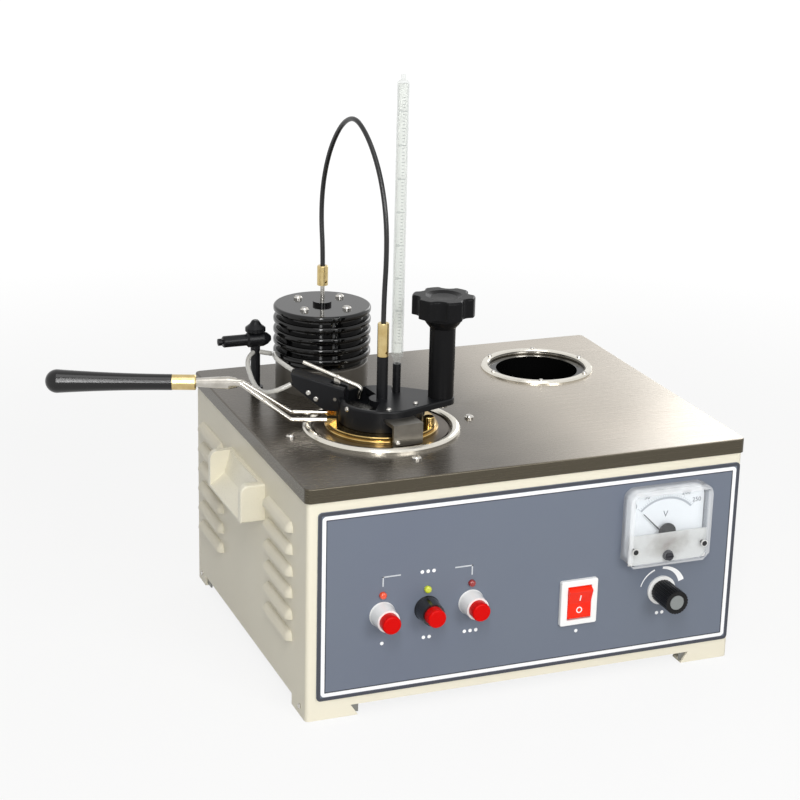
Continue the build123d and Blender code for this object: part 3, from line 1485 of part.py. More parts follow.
pieces = {
    "base_pan": base_pan,
    "case_shell": case_shell,
    "case_screws": case_screws,
    "top_plate": top_plate,
    "front_panel": front_panel,
    "left_handle": left_handle,
    "right_handle": right_handle,
    "stove_ring": stove_ring,
    "ring_screws": ring_screws,
    "air_bath": air_bath,
    "heater_plate": heater_plate,
    "insulation_jacket": insulation_jacket,
    "well_ring": well_ring,
    "well_liner": well_liner,
    "motor_body": motor_body,
    "motor_housing": motor_housing,
    "motor_screws": motor_screws,
    "motor_shaft": motor_shaft,
    "motor_coupling": motor_coupling,
    "valve_post": valve_post,
    "valve_body": valve_body,
    "valve_knob": valve_knob,
    "meter_case": meter_case,
    "meter_dial": meter_dial,
    "meter_needle": meter_needle,
    "meter_cover": meter_cover,
    "meter_screws": meter_screws,
    "zero_screw": zero_screw,
    "switch_bezel": switch_bezel,
    "switch_paddle": switch_paddle,
    "control_pot": control_pot,
    "control_knob": control_knob,
    "button_bezels": button_bezels,
    "button_left": button_left,
    "button_middle": button_middle,
    "button_right": button_right,
    "indicator_lamps": indicator_lamps,
    "power_inlet": power_inlet,
    "cup": cup,
    "handle_fork": handle_fork,
    "handle_ferrule": handle_ferrule,
    "handle_grip": handle_grip,
    "lid": lid,
    "lid_cover": lid_cover,
    "lid_screws": lid_screws,
    "burner_block": burner_block,
    "burner_tube": burner_tube,
    "clip_plate": clip_plate,
    "stirrer_column": stirrer_column,
    "stirrer": stirrer,
    "stirrer_coupling": stirrer_coupling,
    "thermometer_holder": thermometer_holder,
    "thermometer_glass": thermometer_glass,
    "thermometer_scale": thermometer_scale,
    "flexible_shaft": flexible_shaft,
    "shutter_plate": shutter_plate,
    "shutter_crank": shutter_crank,
    "shutter_knob": shutter_knob,
    "gas_hose_upper": gas_hose_upper,
    "gas_hose_lower": gas_hose_lower,
}
os.makedirs("parts", exist_ok=True)
for label, piece in pieces.items():
    piece.part.label = label
    export_step(piece.part, f"parts/{label}.step")
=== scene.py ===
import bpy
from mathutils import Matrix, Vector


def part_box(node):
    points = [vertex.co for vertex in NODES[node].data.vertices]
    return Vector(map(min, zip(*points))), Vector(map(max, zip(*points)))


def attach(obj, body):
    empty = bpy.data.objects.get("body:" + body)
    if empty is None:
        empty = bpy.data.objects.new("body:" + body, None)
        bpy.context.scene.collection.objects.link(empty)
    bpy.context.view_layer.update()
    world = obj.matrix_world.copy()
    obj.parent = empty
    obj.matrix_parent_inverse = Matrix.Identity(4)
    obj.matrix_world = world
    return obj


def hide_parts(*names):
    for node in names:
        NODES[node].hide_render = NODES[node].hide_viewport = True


bl_info = {
    "name": "Flash Point Tester Dressing",
    "version": (1, 0, 0),
    "blender": (4, 5, 0),
    "location": "View3D > Sidebar > Tester",
    "description": "Finishes, printing and small pieces for a closed-cup flash point tester",
    "category": "Object",
}

from math import atan2, cos, pi, radians, sin

import bmesh
import bpy
from mathutils import Matrix, Vector

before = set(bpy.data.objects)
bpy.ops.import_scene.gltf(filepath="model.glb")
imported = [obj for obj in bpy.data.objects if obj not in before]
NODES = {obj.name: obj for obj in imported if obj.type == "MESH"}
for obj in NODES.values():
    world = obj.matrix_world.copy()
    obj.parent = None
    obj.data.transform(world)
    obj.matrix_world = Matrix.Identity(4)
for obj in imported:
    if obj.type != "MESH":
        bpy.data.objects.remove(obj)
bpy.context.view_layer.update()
MM = 0.001

# The case's middle and the top of its deck, from the solids, in metres.
_low, _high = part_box("case_shell")
CASE = Vector(((_low.x + _high.x) / 2, (_low.y + _high.y) / 2, 0))
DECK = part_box("top_plate")[1].z
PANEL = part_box("front_panel")[0].y


def at(x, y, z):
    """A place on the case in millimetres, with its height over the bench, in metres."""
    return CASE + Vector((x, y, z)) * MM


def on_deck(x, y, z):
    """A place on the case in millimetres, with its height over the deck, in metres."""
    return CASE + Vector((x, y, z)) * MM + Vector((0, 0, DECK))


def on_panel(x, z, proud=0.0):
    """A place on the front panel's face in millimetres, in metres."""
    return Vector((CASE.x + x * MM, PANEL - proud * MM, z * MM))


# --- Places and sizes, in millimetres unless they say otherwise ----------------------------
# On the front panel: across from the case's middle, and up from the bench.
BUTTONS = (-107.0, -75.0, -43.0)
BUTTON_REACH = 12  # to each side of a button: all of its bezel and lamp, and none of the next
ROCKER = (37.2, 61.0)
KNOB = (102.0, 60.5)
KNOB_CAP = 5.25  # radius of the grey disc in its end
KNOB_REACH = 23.0  # how far the disc stands off the panel
METER = (100.5, 112.2)
METER_WINDOW = (28.6, 26.2, 24.6)  # the clear part of its cover: to each side, down and up from its middle
METER_PIVOT = (METER[0], 103.0, 2.32)  # the needle's pin, with the dial's face off the panel
METER_HUB = (METER[0], 106.6, 5.6)
METER_STRIP = (METER[0], 96.4, 7.8)
STRIP_SIZE = (60.2, 21.6, 0.5)
METER_SCREWS = (26.7, 97.0)  # to each side of the meter's middle, and up
SCREW_HEAD = 1.9  # radius of a screw's black head in its pale lip
LAMP_LINE = 98.5
UNDER_BUTTONS = 50.5
# Small dots stand where a maker would letter the controls: across, up, and how many.
DOTS = (
    (BUTTONS[1], LAMP_LINE, 3), (BUTTONS[0], UNDER_BUTTONS, 1), (BUTTONS[1], UNDER_BUTTONS, 2),
    (BUTTONS[2], UNDER_BUTTONS, 3), (ROCKER[0], 38.5, 1), (KNOB[0], 43.0, 2),
)
ROCKER_LEAN = radians(7.0)
ROCKER_DISH = radians(9.92)  # how far each half of the paddle leans its own way about the pin
SCALE_TURN = radians(-21)  # which way the thermometer's scale faces

# The flexible drive and the two hoses follow the same points as their solids, up from the deck.
LINE_RADIUS = 1.75
MOTOR = Vector((-80.0, 74.0, 0))
STOVE = Vector((-72.6, -31.5, 0))
# The drive stays over the line from the motor to the stove: along that line, and up.
DRIVE_ROUTE = (
    (0, 84.2), (0, 102), (-3.5, 124), (-2, 146), (5, 167), (17, 186), (34, 202), (53, 208.5),
    (72, 201), (89, 186), (101, 167), (107.5, 145), (108.5, 121), (105.76, 93), (105.76, 69.3),
)
UPPER_HOSE = (
    (-127.607, 72.553, 29), (-122.3, 66.3, 29.2), (-121.3, 58.0, 31.5), (-124.5, 49.0, 34.5),
    (-128.0, 39.0, 36.5), (-129.5, 28.5, 37.0), (-127.934, 18.188, 36.106), (-123.626, 10.087, 33.647),
)
LOWER_HOSE = (
    (-133.393, 72.553, 29), (-138.9, 66.0, 28.5), (-142.8, 56.0, 25.5), (-144.3, 44.5, 21.5),
    (-145.3, 32.5, 18.6), (-145.2, 20.5, 17.6), (-143.3, 9.8, 19.0), (-136.758, 2.223, 22.819),
    (-128.112, 1.466, 26.683),
)
# Their lengths along the curve, in metres.
UPPER_LENGTH = 0.067
LOWER_LENGTH = 0.086

# The camera's place from the tester's middle in metres, its own right and up, and its lens.
CAMERA_PLACE = (-0.5612, -1.2911, 0.6445)
CAMERA_RIGHT = (0.9315, -0.3630, 0.0229)
CAMERA_UP = (0.0962, 0.3068, 0.9469)
CAMERA_LENS = 92.55
# Each lamp's place from the tester's middle, and its width and height, in metres. The card is for
# the deck to reflect, and the strip draws the long highlights on the grip and the motor.
LAMPS = {
    "key": ((0.45, -1.75, 0.9), 0.7, 0.7),
    "card": ((1.75, 1.75, 1.0), 1.1, 1.1),
    "fill": ((-0.2, -0.6, 1.9), 1.0, 1.0),
    "strip": ((-0.65, -1.35, 0.95), 0.14, 1.3),
}
FLOOR_REACH = 6.0  # from the middle to each side, in metres
FLOOR_DROP = 0.0002  # just clear of the feet, in metres
WHITE = (1, 1, 1, 1)


# --- Sizes and colours a user would change -------------------------------------------------
class TesterPanelSizes(bpy.types.PropertyGroup):
    edge: bpy.props.FloatProperty(
        name="Dark Edge", description="Width of the panel's dark edge", default=2.3 * MM, unit="LENGTH")
    rule: bpy.props.FloatProperty(
        name="White Rule", description="Width of the white rule inside the edge", default=2.6 * MM,
        unit="LENGTH")
    rule_gap: bpy.props.FloatProperty(
        name="Rule Gap", description="Gap between the dark edge and the white rule", default=0.5 * MM,
        unit="LENGTH")
    ink: bpy.props.FloatProperty(
        name="Ink Thickness", description="How far the printing stands off its face", default=0.12 * MM,
        unit="LENGTH")
    line: bpy.props.FloatProperty(
        name="Line Width", description="Width of the lines over the lamps", default=0.9 * MM, unit="LENGTH")


def linear(code):
    """An sRGB hex colour as linear red, green, blue and alpha."""
    parts = [int(code[i:i + 2], 16) / 255 for i in (1, 3, 5)]
    return [c / 12.92 if c <= 0.04045 else ((c + 0.055) / 1.055) ** 2.4 for c in parts] + [1.0]


def colour_choice(name, description, code):
    """A colour that a user can pick."""
    return bpy.props.FloatVectorProperty(
        name=name, description=description, subtype="COLOR", size=4, min=0, max=1, default=linear(code))


class TesterColours(bpy.types.PropertyGroup):
    case: colour_choice("Case", "Cream enamel of the case", "#e8e3d1")
    panel: colour_choice("Panel", "Film on the front panel", "#636a7b")
    buttons: colour_choice("Buttons", "Caps of the push buttons", "#cc0200")
    rocker: colour_choice("Rocker", "Paddle of the rocker switch", "#f01602")


class TesterStudio(bpy.types.PropertyGroup):
    key: bpy.props.FloatProperty(
        name="Key Light", description="Power of the key lamp", default=14.0, unit="POWER")
    fill: bpy.props.FloatProperty(
        name="Fill Light", description="Power of the fill lamp", default=6.0, unit="POWER")
    card: bpy.props.FloatProperty(
        name="Back Card", description="Power of the card the deck reflects", default=9.0, unit="POWER")
    strip: bpy.props.FloatProperty(
        name="Strip Lamp", description="Power of the tall strip in front", default=14.0, unit="POWER")
    world: bpy.props.FloatProperty(
        name="Surroundings", description="Strength of the surroundings", default=0.34)


# --- Materials -----------------------------------------------------------------------------
def add(tree, kind, inputs=None, **settings):
    """Add a node with its settings, values and links."""
    node = tree.nodes.new(kind)
    for name, value in settings.items():
        setattr(node, name, value)
    for name, value in (inputs or {}).items():
        if isinstance(value, bpy.types.NodeSocket):
            tree.links.new(value, node.inputs[name])
        else:
            node.inputs[name].default_value = value
    return node


def start(name):
    """A new material with its shader, and the place on the object that patterns read."""
    made = bpy.data.materials.new(name)
    made.use_nodes = True
    tree = made.node_tree
    shader = tree.nodes["Principled BSDF"]
    place = add(tree, "ShaderNodeTexCoord").outputs["Object"]
    return made, tree, shader, place


def put(shader, **values):
    """Set the shader's own sockets."""
    for name, value in values.items():
        shader.inputs[name.replace("_", " ")].default_value = value


def per_grain(grain, streak=(1, 1, 1)):
    """The scale at which one unit of a pattern is a grain's size in millimetres."""
    return [1 / (grain * MM * s) for s in streak]


def finish(name, colour, rough, metallic=0.0, mottle=None, patch=40.0, grain=0.5, streak=(1, 1, 1),
           relief=0.02, wander=0.06, coat=0.0, **sockets):
    """A plain finish: patches of a second tone, roughness that wanders and a fine surface grain."""
    made, tree, shader, place = start(name)
    base = linear(colour) if isinstance(colour, str) else list(colour)
    wide_place = add(tree, "ShaderNodeMapping", {"Vector": place, "Scale": per_grain(patch)})
    wide = add(tree, "ShaderNodeTexNoise", {
        "Vector": wide_place.outputs["Vector"], "Scale": 1.0, "Detail": 3.0})
    fine_place = add(tree, "ShaderNodeMapping", {"Vector": place, "Scale": per_grain(grain, streak)})
    fine = add(tree, "ShaderNodeTexNoise", {
        "Vector": fine_place.outputs["Vector"], "Scale": 1.0, "Detail": 4.0, "Roughness": 0.6})
    tone = add(tree, "ShaderNodeMix", {
        "Factor": wide.outputs["Fac"], "A": base, "B": linear(mottle) if mottle else base}, data_type="RGBA")
    tree.links.new(tone.outputs["Result"], shader.inputs["Base Color"])
    ranged = add(tree, "ShaderNodeMapRange", {
        "Value": fine.outputs["Fac"], "From Min": 0.25, "From Max": 0.75,
        "To Min": max(rough - wander, 0.02), "To Max": rough + wander})
    tree.links.new(ranged.outputs["Result"], shader.inputs["Roughness"])
    bump = add(tree, "ShaderNodeBump", {
        "Height": fine.outputs["Fac"], "Strength": 0.35, "Distance": relief * MM})
    tree.links.new(bump.outputs["Normal"], shader.inputs["Normal"])
    put(shader, Metallic=metallic, Coat_Weight=coat, Coat_Roughness=0.05, **sockets)
    return made


def by_place(made, pattern):
    """Give a finish's base colour by place: pattern(tree, place) returns a colour socket."""
    tree = made.node_tree
    place = next(n for n in tree.nodes if n.type == "TEX_COORD").outputs["Object"]
    tree.links.new(pattern(tree, place), tree.nodes["Principled BSDF"].inputs["Base Color"])
    return made


def band(tree, value, low, high):
    """One where a value lies between two limits, and nought elsewhere."""
    above = add(tree, "ShaderNodeMath", operation="GREATER_THAN")
    below = add(tree, "ShaderNodeMath", operation="LESS_THAN")
    both = add(tree, "ShaderNodeMath", operation="MULTIPLY")
    for node, limit in ((above, low), (below, high)):
        tree.links.new(value, node.inputs[0])
        node.inputs[1].default_value = limit
    tree.links.new(above.outputs[0], both.inputs[0])
    tree.links.new(below.outputs[0], both.inputs[1])
    return both.outputs[0]


def shown_plain(tree):
    """One where the camera, a gloss or clear glass looks straight at it, and nought for its light."""
    path = add(tree, "ShaderNodeLightPath")
    seen = path.outputs["Is Camera Ray"]
    for ray in ("Is Glossy Ray", "Is Transmission Ray"):
        seen = add(tree, "ShaderNodeMath", {0: seen, 1: path.outputs[ray]}, operation="MAXIMUM").outputs[0]
    return seen


def make_materials(colours):
    """Every finish on the tester, by name."""
    m = {}
    # Stoved cream enamel on steel sheet: satin, with a faint orange peel some two millimetres across.
    m["cream_enamel"] = finish(
        "cream_enamel", colours.case, 0.34, mottle="#e1dac6", patch=90, grain=2.2, relief=0.02, wander=0.03,
        Specular_IOR_Level=0.15)
    # Zinc-plated steel sheet, as rolled: dull grey metal in soft patches.
    m["zinc_plate"] = finish("zinc_plate", "#8f8f8a", 0.45, 0.9, mottle="#7a7a76", patch=12, grain=1.0)
    # Brushed stainless sheet: fine streaks along the case's length, with broad smudges, a painted reflection
    # that runs from dark on the left to light on the right, and a painted dark reflection along the front
    # edge.
    m["brushed_stainless"] = brushed_stainless()
    # Polyester overlay film: flat grey-blue, matt, with a fine pebble.
    m["polyester_film"] = finish(
        "polyester_film", colours.panel, 0.42, mottle="#69717c", patch=120, grain=0.6, relief=0.008,
        wander=0.03)
    # Screen inks on the film: flat colour, a little duller than the film round them.
    m["dark_ink"] = finish("dark_ink", "#3a3d46", 0.4, patch=30)
    m["white_ink"] = finish("white_ink", "#f4f4f4", 0.5, patch=30)
    m["pale_ink"] = finish("pale_ink", "#c4c8cc", 0.5, patch=30)
    # Moulded ABS in the case's cream: a soft sheen, a little paler than the enamel.
    m["cream_abs"] = finish("cream_abs", "#f1ecd9", 0.3, mottle="#eae4cf", patch=60, grain=0.8, relief=0.01)
    # Nickel-plated screw heads: small bright glints.
    m["nickel_plate"] = finish("nickel_plate", "#d8d6d2", 0.18, 1.0, mottle="#bdb9b2", patch=4, grain=0.4)
    # Painted steel screws: black heads, each in the pale lip of its countersink.
    m["painted_screw"] = by_place(finish("painted_screw", "#1a1a1c", 0.35, patch=4), screw_tones)
    # Polished stainless rings, rolled over: near mirrors, wavering a little from the rolling.
    m["polished_stainless"] = finish(
        "polished_stainless", "#e6e2d8", 0.22, 1.0, mottle="#cdc8bc", patch=18, grain=1.2, wander=0.05)
    # Turned cast iron, oiled and heat stained: brown-grey, with a low gloss.
    m["stained_iron"] = finish("stained_iron", "#6b6257", 0.34, 0.85, mottle="#4a4036", patch=14, grain=0.5)
    # Felted mineral fibre: pale and dry, with no gloss at all.
    m["mineral_fibre"] = finish("mineral_fibre", "#c9c3b0", 0.95, patch=6, grain=0.6, relief=0.3)
    # Black stove enamel: a hard gloss with sharp highlights.
    m["black_enamel"] = finish(
        "black_enamel", "#050505", 0.1, mottle="#0b0b0b", patch=30, wander=0.02, Specular_IOR_Level=0.4)
    # Polished phenolic grip: black, with one long highlight down it.
    m["polished_phenolic"] = finish(
        "polished_phenolic", "#060506", 0.16, patch=30, wander=0.03, Specular_IOR_Level=0.45)
    # Hammered grey paint on cast aluminium: half metallic, in small patches.
    m["hammered_paint"] = finish(
        "hammered_paint", "#4c4944", 0.38, 0.3, mottle="#5d5850", patch=16, grain=1.0)
    # Ground steel shaft: bright, with rings round it.
    m["ground_steel"] = finish(
        "ground_steel", "#c9c7c2", 0.2, 1.0, mottle="#a9a69f", patch=6, grain=0.3, streak=(1, 1, 0.2))
    # Turned brass, lightly tarnished: pale gold.
    m["turned_brass"] = finish("turned_brass", "#e2cf9c", 0.22, 1.0, mottle="#b49a60", patch=7, grain=0.35)
    # Heated brass: deeper gold, browned in patches.
    m["heated_brass"] = finish("heated_brass", "#dcc182", 0.18, 1.0, mottle="#94743d", patch=12, grain=0.4)
    # Chemically blackened steel: nearly black, satin, bluish.
    m["black_oxide"] = finish(
        "black_oxide", "#0c0c0d", 0.34, mottle="#17181b", patch=14, grain=0.5, Specular_IOR_Level=0.2)
    # Moulded phenolic knob: black, with a soft and slightly uneven sheen.
    m["moulded_phenolic"] = finish(
        "moulded_phenolic", "#101011", 0.3, mottle="#171718", patch=20, grain=0.8, wander=0.05, relief=0.01,
        Specular_IOR_Level=0.08)
    # Bright nickel on bent steel rod: white highlights along each bend.
    m["bright_nickel"] = finish("bright_nickel", "#d4d0c8", 0.14, 1.0, mottle="#a5a097", patch=10, grain=0.5)
    # Rolled spring steel: grey-brown and satin, with streaks.
    m["spring_steel"] = finish(
        "spring_steel", "#6b6862", 0.32, 0.9, mottle="#827e76", patch=7, grain=0.4, streak=(1, 1, 0.2))
    # Moulded nylon: clean white, with a gloss.
    m["white_nylon"] = finish("white_nylon", "#eeeeec", 0.22, patch=30, coat=0.3)
    # Moulded polycarbonate: strong orange-red, glossy.
    m["red_polycarbonate"] = finish(
        "red_polycarbonate", colours.rocker, 0.2, mottle="#f8300c", patch=12, Specular_IOR_Level=0.25)
    # Moulded ABS caps: deep red, with little gloss.
    m["red_abs"] = finish("red_abs", colours.buttons, 0.34, patch=12, Specular_IOR_Level=0.12)
    # Black paint on thin metal: flat and dark.
    m["black_paint"] = finish("black_paint", "#24242a", 0.4, patch=4)
    # Moulded polystyrene over the needle's pin: dead black.
    m["black_styrene"] = finish("black_styrene", "#060606", 0.4, patch=12, Specular_IOR_Level=0.2)
    # White painted housing and dial: cold white, flat enough to read the scale on.
    m["white_paint"] = finish("white_paint", "#fcfdfd", 0.4, mottle="#f5f7f8", patch=40)
    # Inks on the dial: greys, paler in the scale than in the numbers.
    m["grey_ink"] = finish("grey_ink", "#b9bdc2", 0.5, patch=10)
    m["dial_ink"] = finish("dial_ink", "#6d7076", 0.5, patch=10)
    # Moulded nylon mains inlet: black, with a dull sheen.
    m["black_nylon"] = finish("black_nylon", "#151515", 0.35, patch=12)
    # Turned stainless, unpolished: grey, satin, a little stained.
    m["satin_stainless"] = finish(
        "satin_stainless", "#bdbbb6", 0.22, 1.0, mottle="#8f8c86", patch=8, grain=0.4)
    # Opal glass scale: plain white behind the marks.
    m["opal_glass"] = finish("opal_glass", "#f6f6f4", 0.4, patch=12)
    m["scale_ink"] = finish("scale_ink", "#8c9094", 0.5, patch=10)
    # Extruded PVC sheath over the flexible drive: black, with a fine ripple.
    m["pvc_sheath"] = finish("pvc_sheath", "#0c0c0d", 0.3, patch=12, grain=1.0, relief=0.05)
    # Silicone hose: pale, slightly cloudy.
    m["silicone_hose"] = finish("silicone_hose", "#d3d1ca", 0.2, patch=9, coat=0.5, Transmission_Weight=0.25)
    # Moulded ABS knob and bezels: each moulding in its own colour.
    m["knob_abs"] = by_place(
        finish("knob_abs", "#0c0c0d", 0.3, patch=12, Specular_IOR_Level=0.25), knob_tones)
    m["bezel_abs"] = by_place(finish("bezel_abs", "#eeeeec", 0.22, patch=30, coat=0.4), bezel_tones)
    # Dyed acrylic lenses: a wet gloss over a strong colour.
    m["lens_acrylic"] = by_place(finish("lens_acrylic", "#c01408", 0.12, patch=12, coat=0.8), lamp_tones)
    # Clear moulded acrylic: all but unseen, with a milky rim and one soft reflection.
    m["clear_acrylic"] = glassy("clear_acrylic", "#fafbfc", 0.05, 0.995, milky_rim)
    # Acrylic frosted from behind: pale brown-grey cloud.
    m["frosted_acrylic"] = by_place(finish("frosted_acrylic", "#b5b1ab", 0.38), strip_tones)
    # Drawn glass stem: clear, with bright edges.
    m["stem_glass"] = glassy("stem_glass", "#f7f8f7", 0.03, 0.94)
    return m


def brushed_stainless():
    """Brushed stainless: streaks along the sheet, broad smudges, a painted reflection dark on the left and
    light on the right, and an edge painted dark as the reflection of the bench.
    """
    made, tree, shader, place = start("brushed_stainless")
    # The real streaks are too fine to show, so these are drawn coarser.
    streak_place = add(tree, "ShaderNodeMapping", {"Vector": place, "Scale": per_grain(0.9, (60, 1, 1))})
    streaks = add(tree, "ShaderNodeTexNoise", {
        "Vector": streak_place.outputs["Vector"], "Scale": 1.0, "Detail": 5.0, "Roughness": 0.7})
    smudge_place = add(tree, "ShaderNodeMapping", {"Vector": place, "Scale": per_grain(70, (1.3, 1, 1))})
    smudge = add(tree, "ShaderNodeTexNoise", {
        "Vector": smudge_place.outputs["Vector"], "Scale": 1.0, "Detail": 2.5, "Roughness": 0.5})
    spread = add(tree, "ShaderNodeMapRange", {
        "Value": smudge.outputs["Fac"], "From Min": 0.35, "From Max": 0.65})
    tone = add(tree, "ShaderNodeMix", {
        "Factor": spread.outputs["Result"], "A": linear("#8a8175"), "B": linear("#6f685d")},
        data_type="RGBA")
    # Painted reflection: the base colour runs from dark on the left to light on the right, for a dark room
    # and a bright one reflected in the streaks.
    split = add(tree, "ShaderNodeSeparateXYZ", {"Vector": place})
    across = add(tree, "ShaderNodeMapRange", {
        "Value": split.outputs["X"], "From Min": CASE.x - 0.035, "From Max": CASE.x + 0.085},
        interpolation_type="SMOOTHSTEP")
    side = add(tree, "ShaderNodeMix", {
        "Factor": across.outputs["Result"], "A": linear("#343029"), "B": linear("#d4cbbd")},
        data_type="RGBA")
    both = add(tree, "ShaderNodeMix", {
        "Factor": 0.62, "A": tone.outputs["Result"], "B": side.outputs["Result"]}, data_type="RGBA")
    # Painted reflection: the deck's edge, below its top face, is coloured dark for the bench it reflects.
    rim = band(tree, split.outputs["Z"], -1, DECK - 0.3 * MM)
    edge = add(tree, "ShaderNodeMix", {
        "Factor": rim, "A": both.outputs["Result"], "B": linear("#4e483b")}, data_type="RGBA")
    grain = add(tree, "ShaderNodeMix", {
        "Factor": 0.07, "A": edge.outputs["Result"], "B": streaks.outputs["Fac"]},
        data_type="RGBA", blend_type="OVERLAY")
    tree.links.new(grain.outputs["Result"], shader.inputs["Base Color"])
    rough = add(tree, "ShaderNodeMapRange", {
        "Value": streaks.outputs["Fac"], "From Min": 0.3, "From Max": 0.7, "To Min": 0.21, "To Max": 0.31})
    tree.links.new(rough.outputs["Result"], shader.inputs["Roughness"])
    bump = add(tree, "ShaderNodeBump", {
        "Height": streaks.outputs["Fac"], "Strength": 0.16, "Distance": 0.01 * MM})
    tree.links.new(bump.outputs["Normal"], shader.inputs["Normal"])
    put(shader, Metallic=0.6, Anisotropic=0.4)
    return made


def glassy(name, colour, rough, clearness, cloud=None):
    """Clear glass or acrylic, thin enough to be drawn as a tinted film with a gloss."""
    made, tree, shader, place = start(name)
    clear = add(tree, "ShaderNodeBsdfTransparent", {"Color": linear(colour)})
    waver_place = add(tree, "ShaderNodeMapping", {"Vector": place, "Scale": per_grain(6)})
    waver = add(tree, "ShaderNodeTexNoise", {"Vector": waver_place.outputs["Vector"], "Scale": 1.0})
    ranged = add(tree, "ShaderNodeMapRange", {
        "Value": waver.outputs["Fac"], "To Min": rough * 0.7, "To Max": rough * 1.3})
    tree.links.new(ranged.outputs["Result"], shader.inputs["Roughness"])
    put(shader, Base_Color=linear(colour), IOR=1.5, Coat_Weight=0.5)
    edge = add(tree, "ShaderNodeLayerWeight", {"Blend": 0.1})
    seen = add(tree, "ShaderNodeMapRange", {
        "Value": edge.outputs["Facing"], "To Min": 1 - clearness, "To Max": 1.0}).outputs["Result"]
    if cloud:
        seen = add(tree, "ShaderNodeMath", {0: seen, 1: cloud(tree, place)}, operation="MAXIMUM").outputs[0]
    mixed = add(tree, "ShaderNodeMixShader", {"Fac": seen})
    tree.links.new(clear.outputs[0], mixed.inputs[1])
    tree.links.new(shader.outputs[0], mixed.inputs[2])
    tree.links.new(mixed.outputs[0], tree.nodes["Material Output"].inputs["Surface"])
    return made


def milky_rim(tree, place):
    """The moulded cover is clear over the dial and cloudy in its bevelled rim."""
    middle = on_panel(*METER)
    side, down, up = (reach * MM for reach in METER_WINDOW)
    split = add(tree, "ShaderNodeSeparateXYZ", {"Vector": place})
    across = band(tree, split.outputs["X"], middle.x - side, middle.x + side)
    along = band(tree, split.outputs["Z"], middle.z - down, middle.z + up)
    inside = add(tree, "ShaderNodeMath", {0: across, 1: along}, operation="MULTIPLY").outputs[0]
    return add(tree, "ShaderNodeMapRange", {
        "Value": inside, "To Min": 0.34, "To Max": 0.0}).outputs["Result"]


def strip_tones(tree, place):
    """The strip is frosted from behind: thick and brownish in the middle, and pale towards its ends."""
    drop, squeeze = 14, 0.6  # thickest this far under the meter's middle, and wider than it is tall
    middle = on_panel(METER[0], METER[1] - drop)
    squeezed = add(tree, "ShaderNodeVectorMath", {0: place, 1: (squeeze, 0, 1)}, operation="MULTIPLY")
    off = add(tree, "ShaderNodeVectorMath", {0: squeezed.outputs[0], 1: (middle.x * squeeze, 0, middle.z)},
              operation="DISTANCE")
    cloud_place = add(tree, "ShaderNodeMapping", {"Vector": place, "Scale": per_grain(7)})
    cloud = add(tree, "ShaderNodeTexNoise", {
        "Vector": cloud_place.outputs["Vector"], "Scale": 1.0, "Detail": 3.0})
    wobble = add(tree, "ShaderNodeMath", {0: cloud.outputs["Fac"], 1: 12 * MM, 2: off.outputs["Value"]},
                 operation="MULTIPLY_ADD")
    share = add(tree, "ShaderNodeMapRange", {
        "Value": wobble.outputs[0], "From Min": 5 * MM, "From Max": 19 * MM})
    return add(tree, "ShaderNodeMix", {
        "Factor": share.outputs["Result"], "A": linear("#9b948c"), "B": linear("#dddcd8")},
        data_type="RGBA").outputs["Result"]


def screw_tones(tree, place):
    """A meter screw is black in its countersink, with the clear cover's pale lip round it."""
    aside, level = METER_SCREWS
    middle = on_panel(METER[0], 0).x
    split = add(tree, "ShaderNodeSeparateXYZ", {"Vector": place})
    across = add(tree, "ShaderNodeMath", {0: split.outputs["X"], 1: middle}, operation="SUBTRACT")
    mirrored = add(tree, "ShaderNodeMath", {0: across.outputs[0]}, operation="ABSOLUTE")
    spot = add(tree, "ShaderNodeCombineXYZ", {"X": mirrored.outputs[0], "Z": split.outputs["Z"]})
    off = add(tree, "ShaderNodeVectorMath", {0: spot.outputs[0], 1: (aside * MM, 0, level * MM)},
              operation="DISTANCE")
    rim = band(tree, off.outputs["Value"], SCREW_HEAD * MM, 5 * MM)
    return add(tree, "ShaderNodeMix", {
        "Factor": rim, "A": linear("#101012"), "B": linear("#c9c9c6")}, data_type="RGBA").outputs["Result"]


def knob_tones(tree, place):
    """The output knob is black, with a grey disc let into its end."""
    axis = on_panel(*KNOB)
    flat = add(tree, "ShaderNodeVectorMath", {0: place, 1: (1, 0, 1)}, operation="MULTIPLY")
    off = add(tree, "ShaderNodeVectorMath", {0: flat.outputs[0], 1: (axis.x, 0, axis.z)},
              operation="DISTANCE")
    near = band(tree, off.outputs["Value"], -1, KNOB_CAP * MM)
    depth = add(tree, "ShaderNodeSeparateXYZ", {"Vector": place}).outputs["Y"]
    front = band(tree, depth, -10, axis.y - KNOB_REACH * MM)
    cap = add(tree, "ShaderNodeMath", {0: near, 1: front}, operation="MULTIPLY")
    return add(tree, "ShaderNodeMix", {
        "Factor": cap.outputs[0], "A": linear("#0b0b0c"), "B": linear("#838786")},
        data_type="RGBA").outputs["Result"]


def bezel_tones(tree, place):
    """The outer two bezels are white and the middle one is black."""
    across = add(tree, "ShaderNodeSeparateXYZ", {"Vector": place}).outputs["X"]
    middle = on_panel(BUTTONS[1], 0).x
    inner = band(tree, across, middle - BUTTON_REACH * MM, middle + BUTTON_REACH * MM)
    return add(tree, "ShaderNodeMix", {
        "Factor": inner, "A": linear("#eeeeec"), "B": linear("#141416")}, data_type="RGBA").outputs["Result"]


def lamp_tones(tree, place):
    """Orange-red on the left, yellow-green in the middle and dark red on the right."""
    across = add(tree, "ShaderNodeSeparateXYZ", {"Vector": place}).outputs["X"]
    middle = on_panel(BUTTONS[1], 0).x
    first = band(tree, across, -10, middle - BUTTON_REACH * MM)
    outer = add(tree, "ShaderNodeMix", {
        "Factor": first, "A": linear("#8e1410"), "B": linear("#e2481c")}, data_type="RGBA")
    second = band(tree, across, middle - BUTTON_REACH * MM, middle + BUTTON_REACH * MM)
    return add(tree, "ShaderNodeMix", {
        "Factor": second, "A": outer.outputs["Result"], "B": linear("#c6cf2c")},
        data_type="RGBA").outputs["Result"]


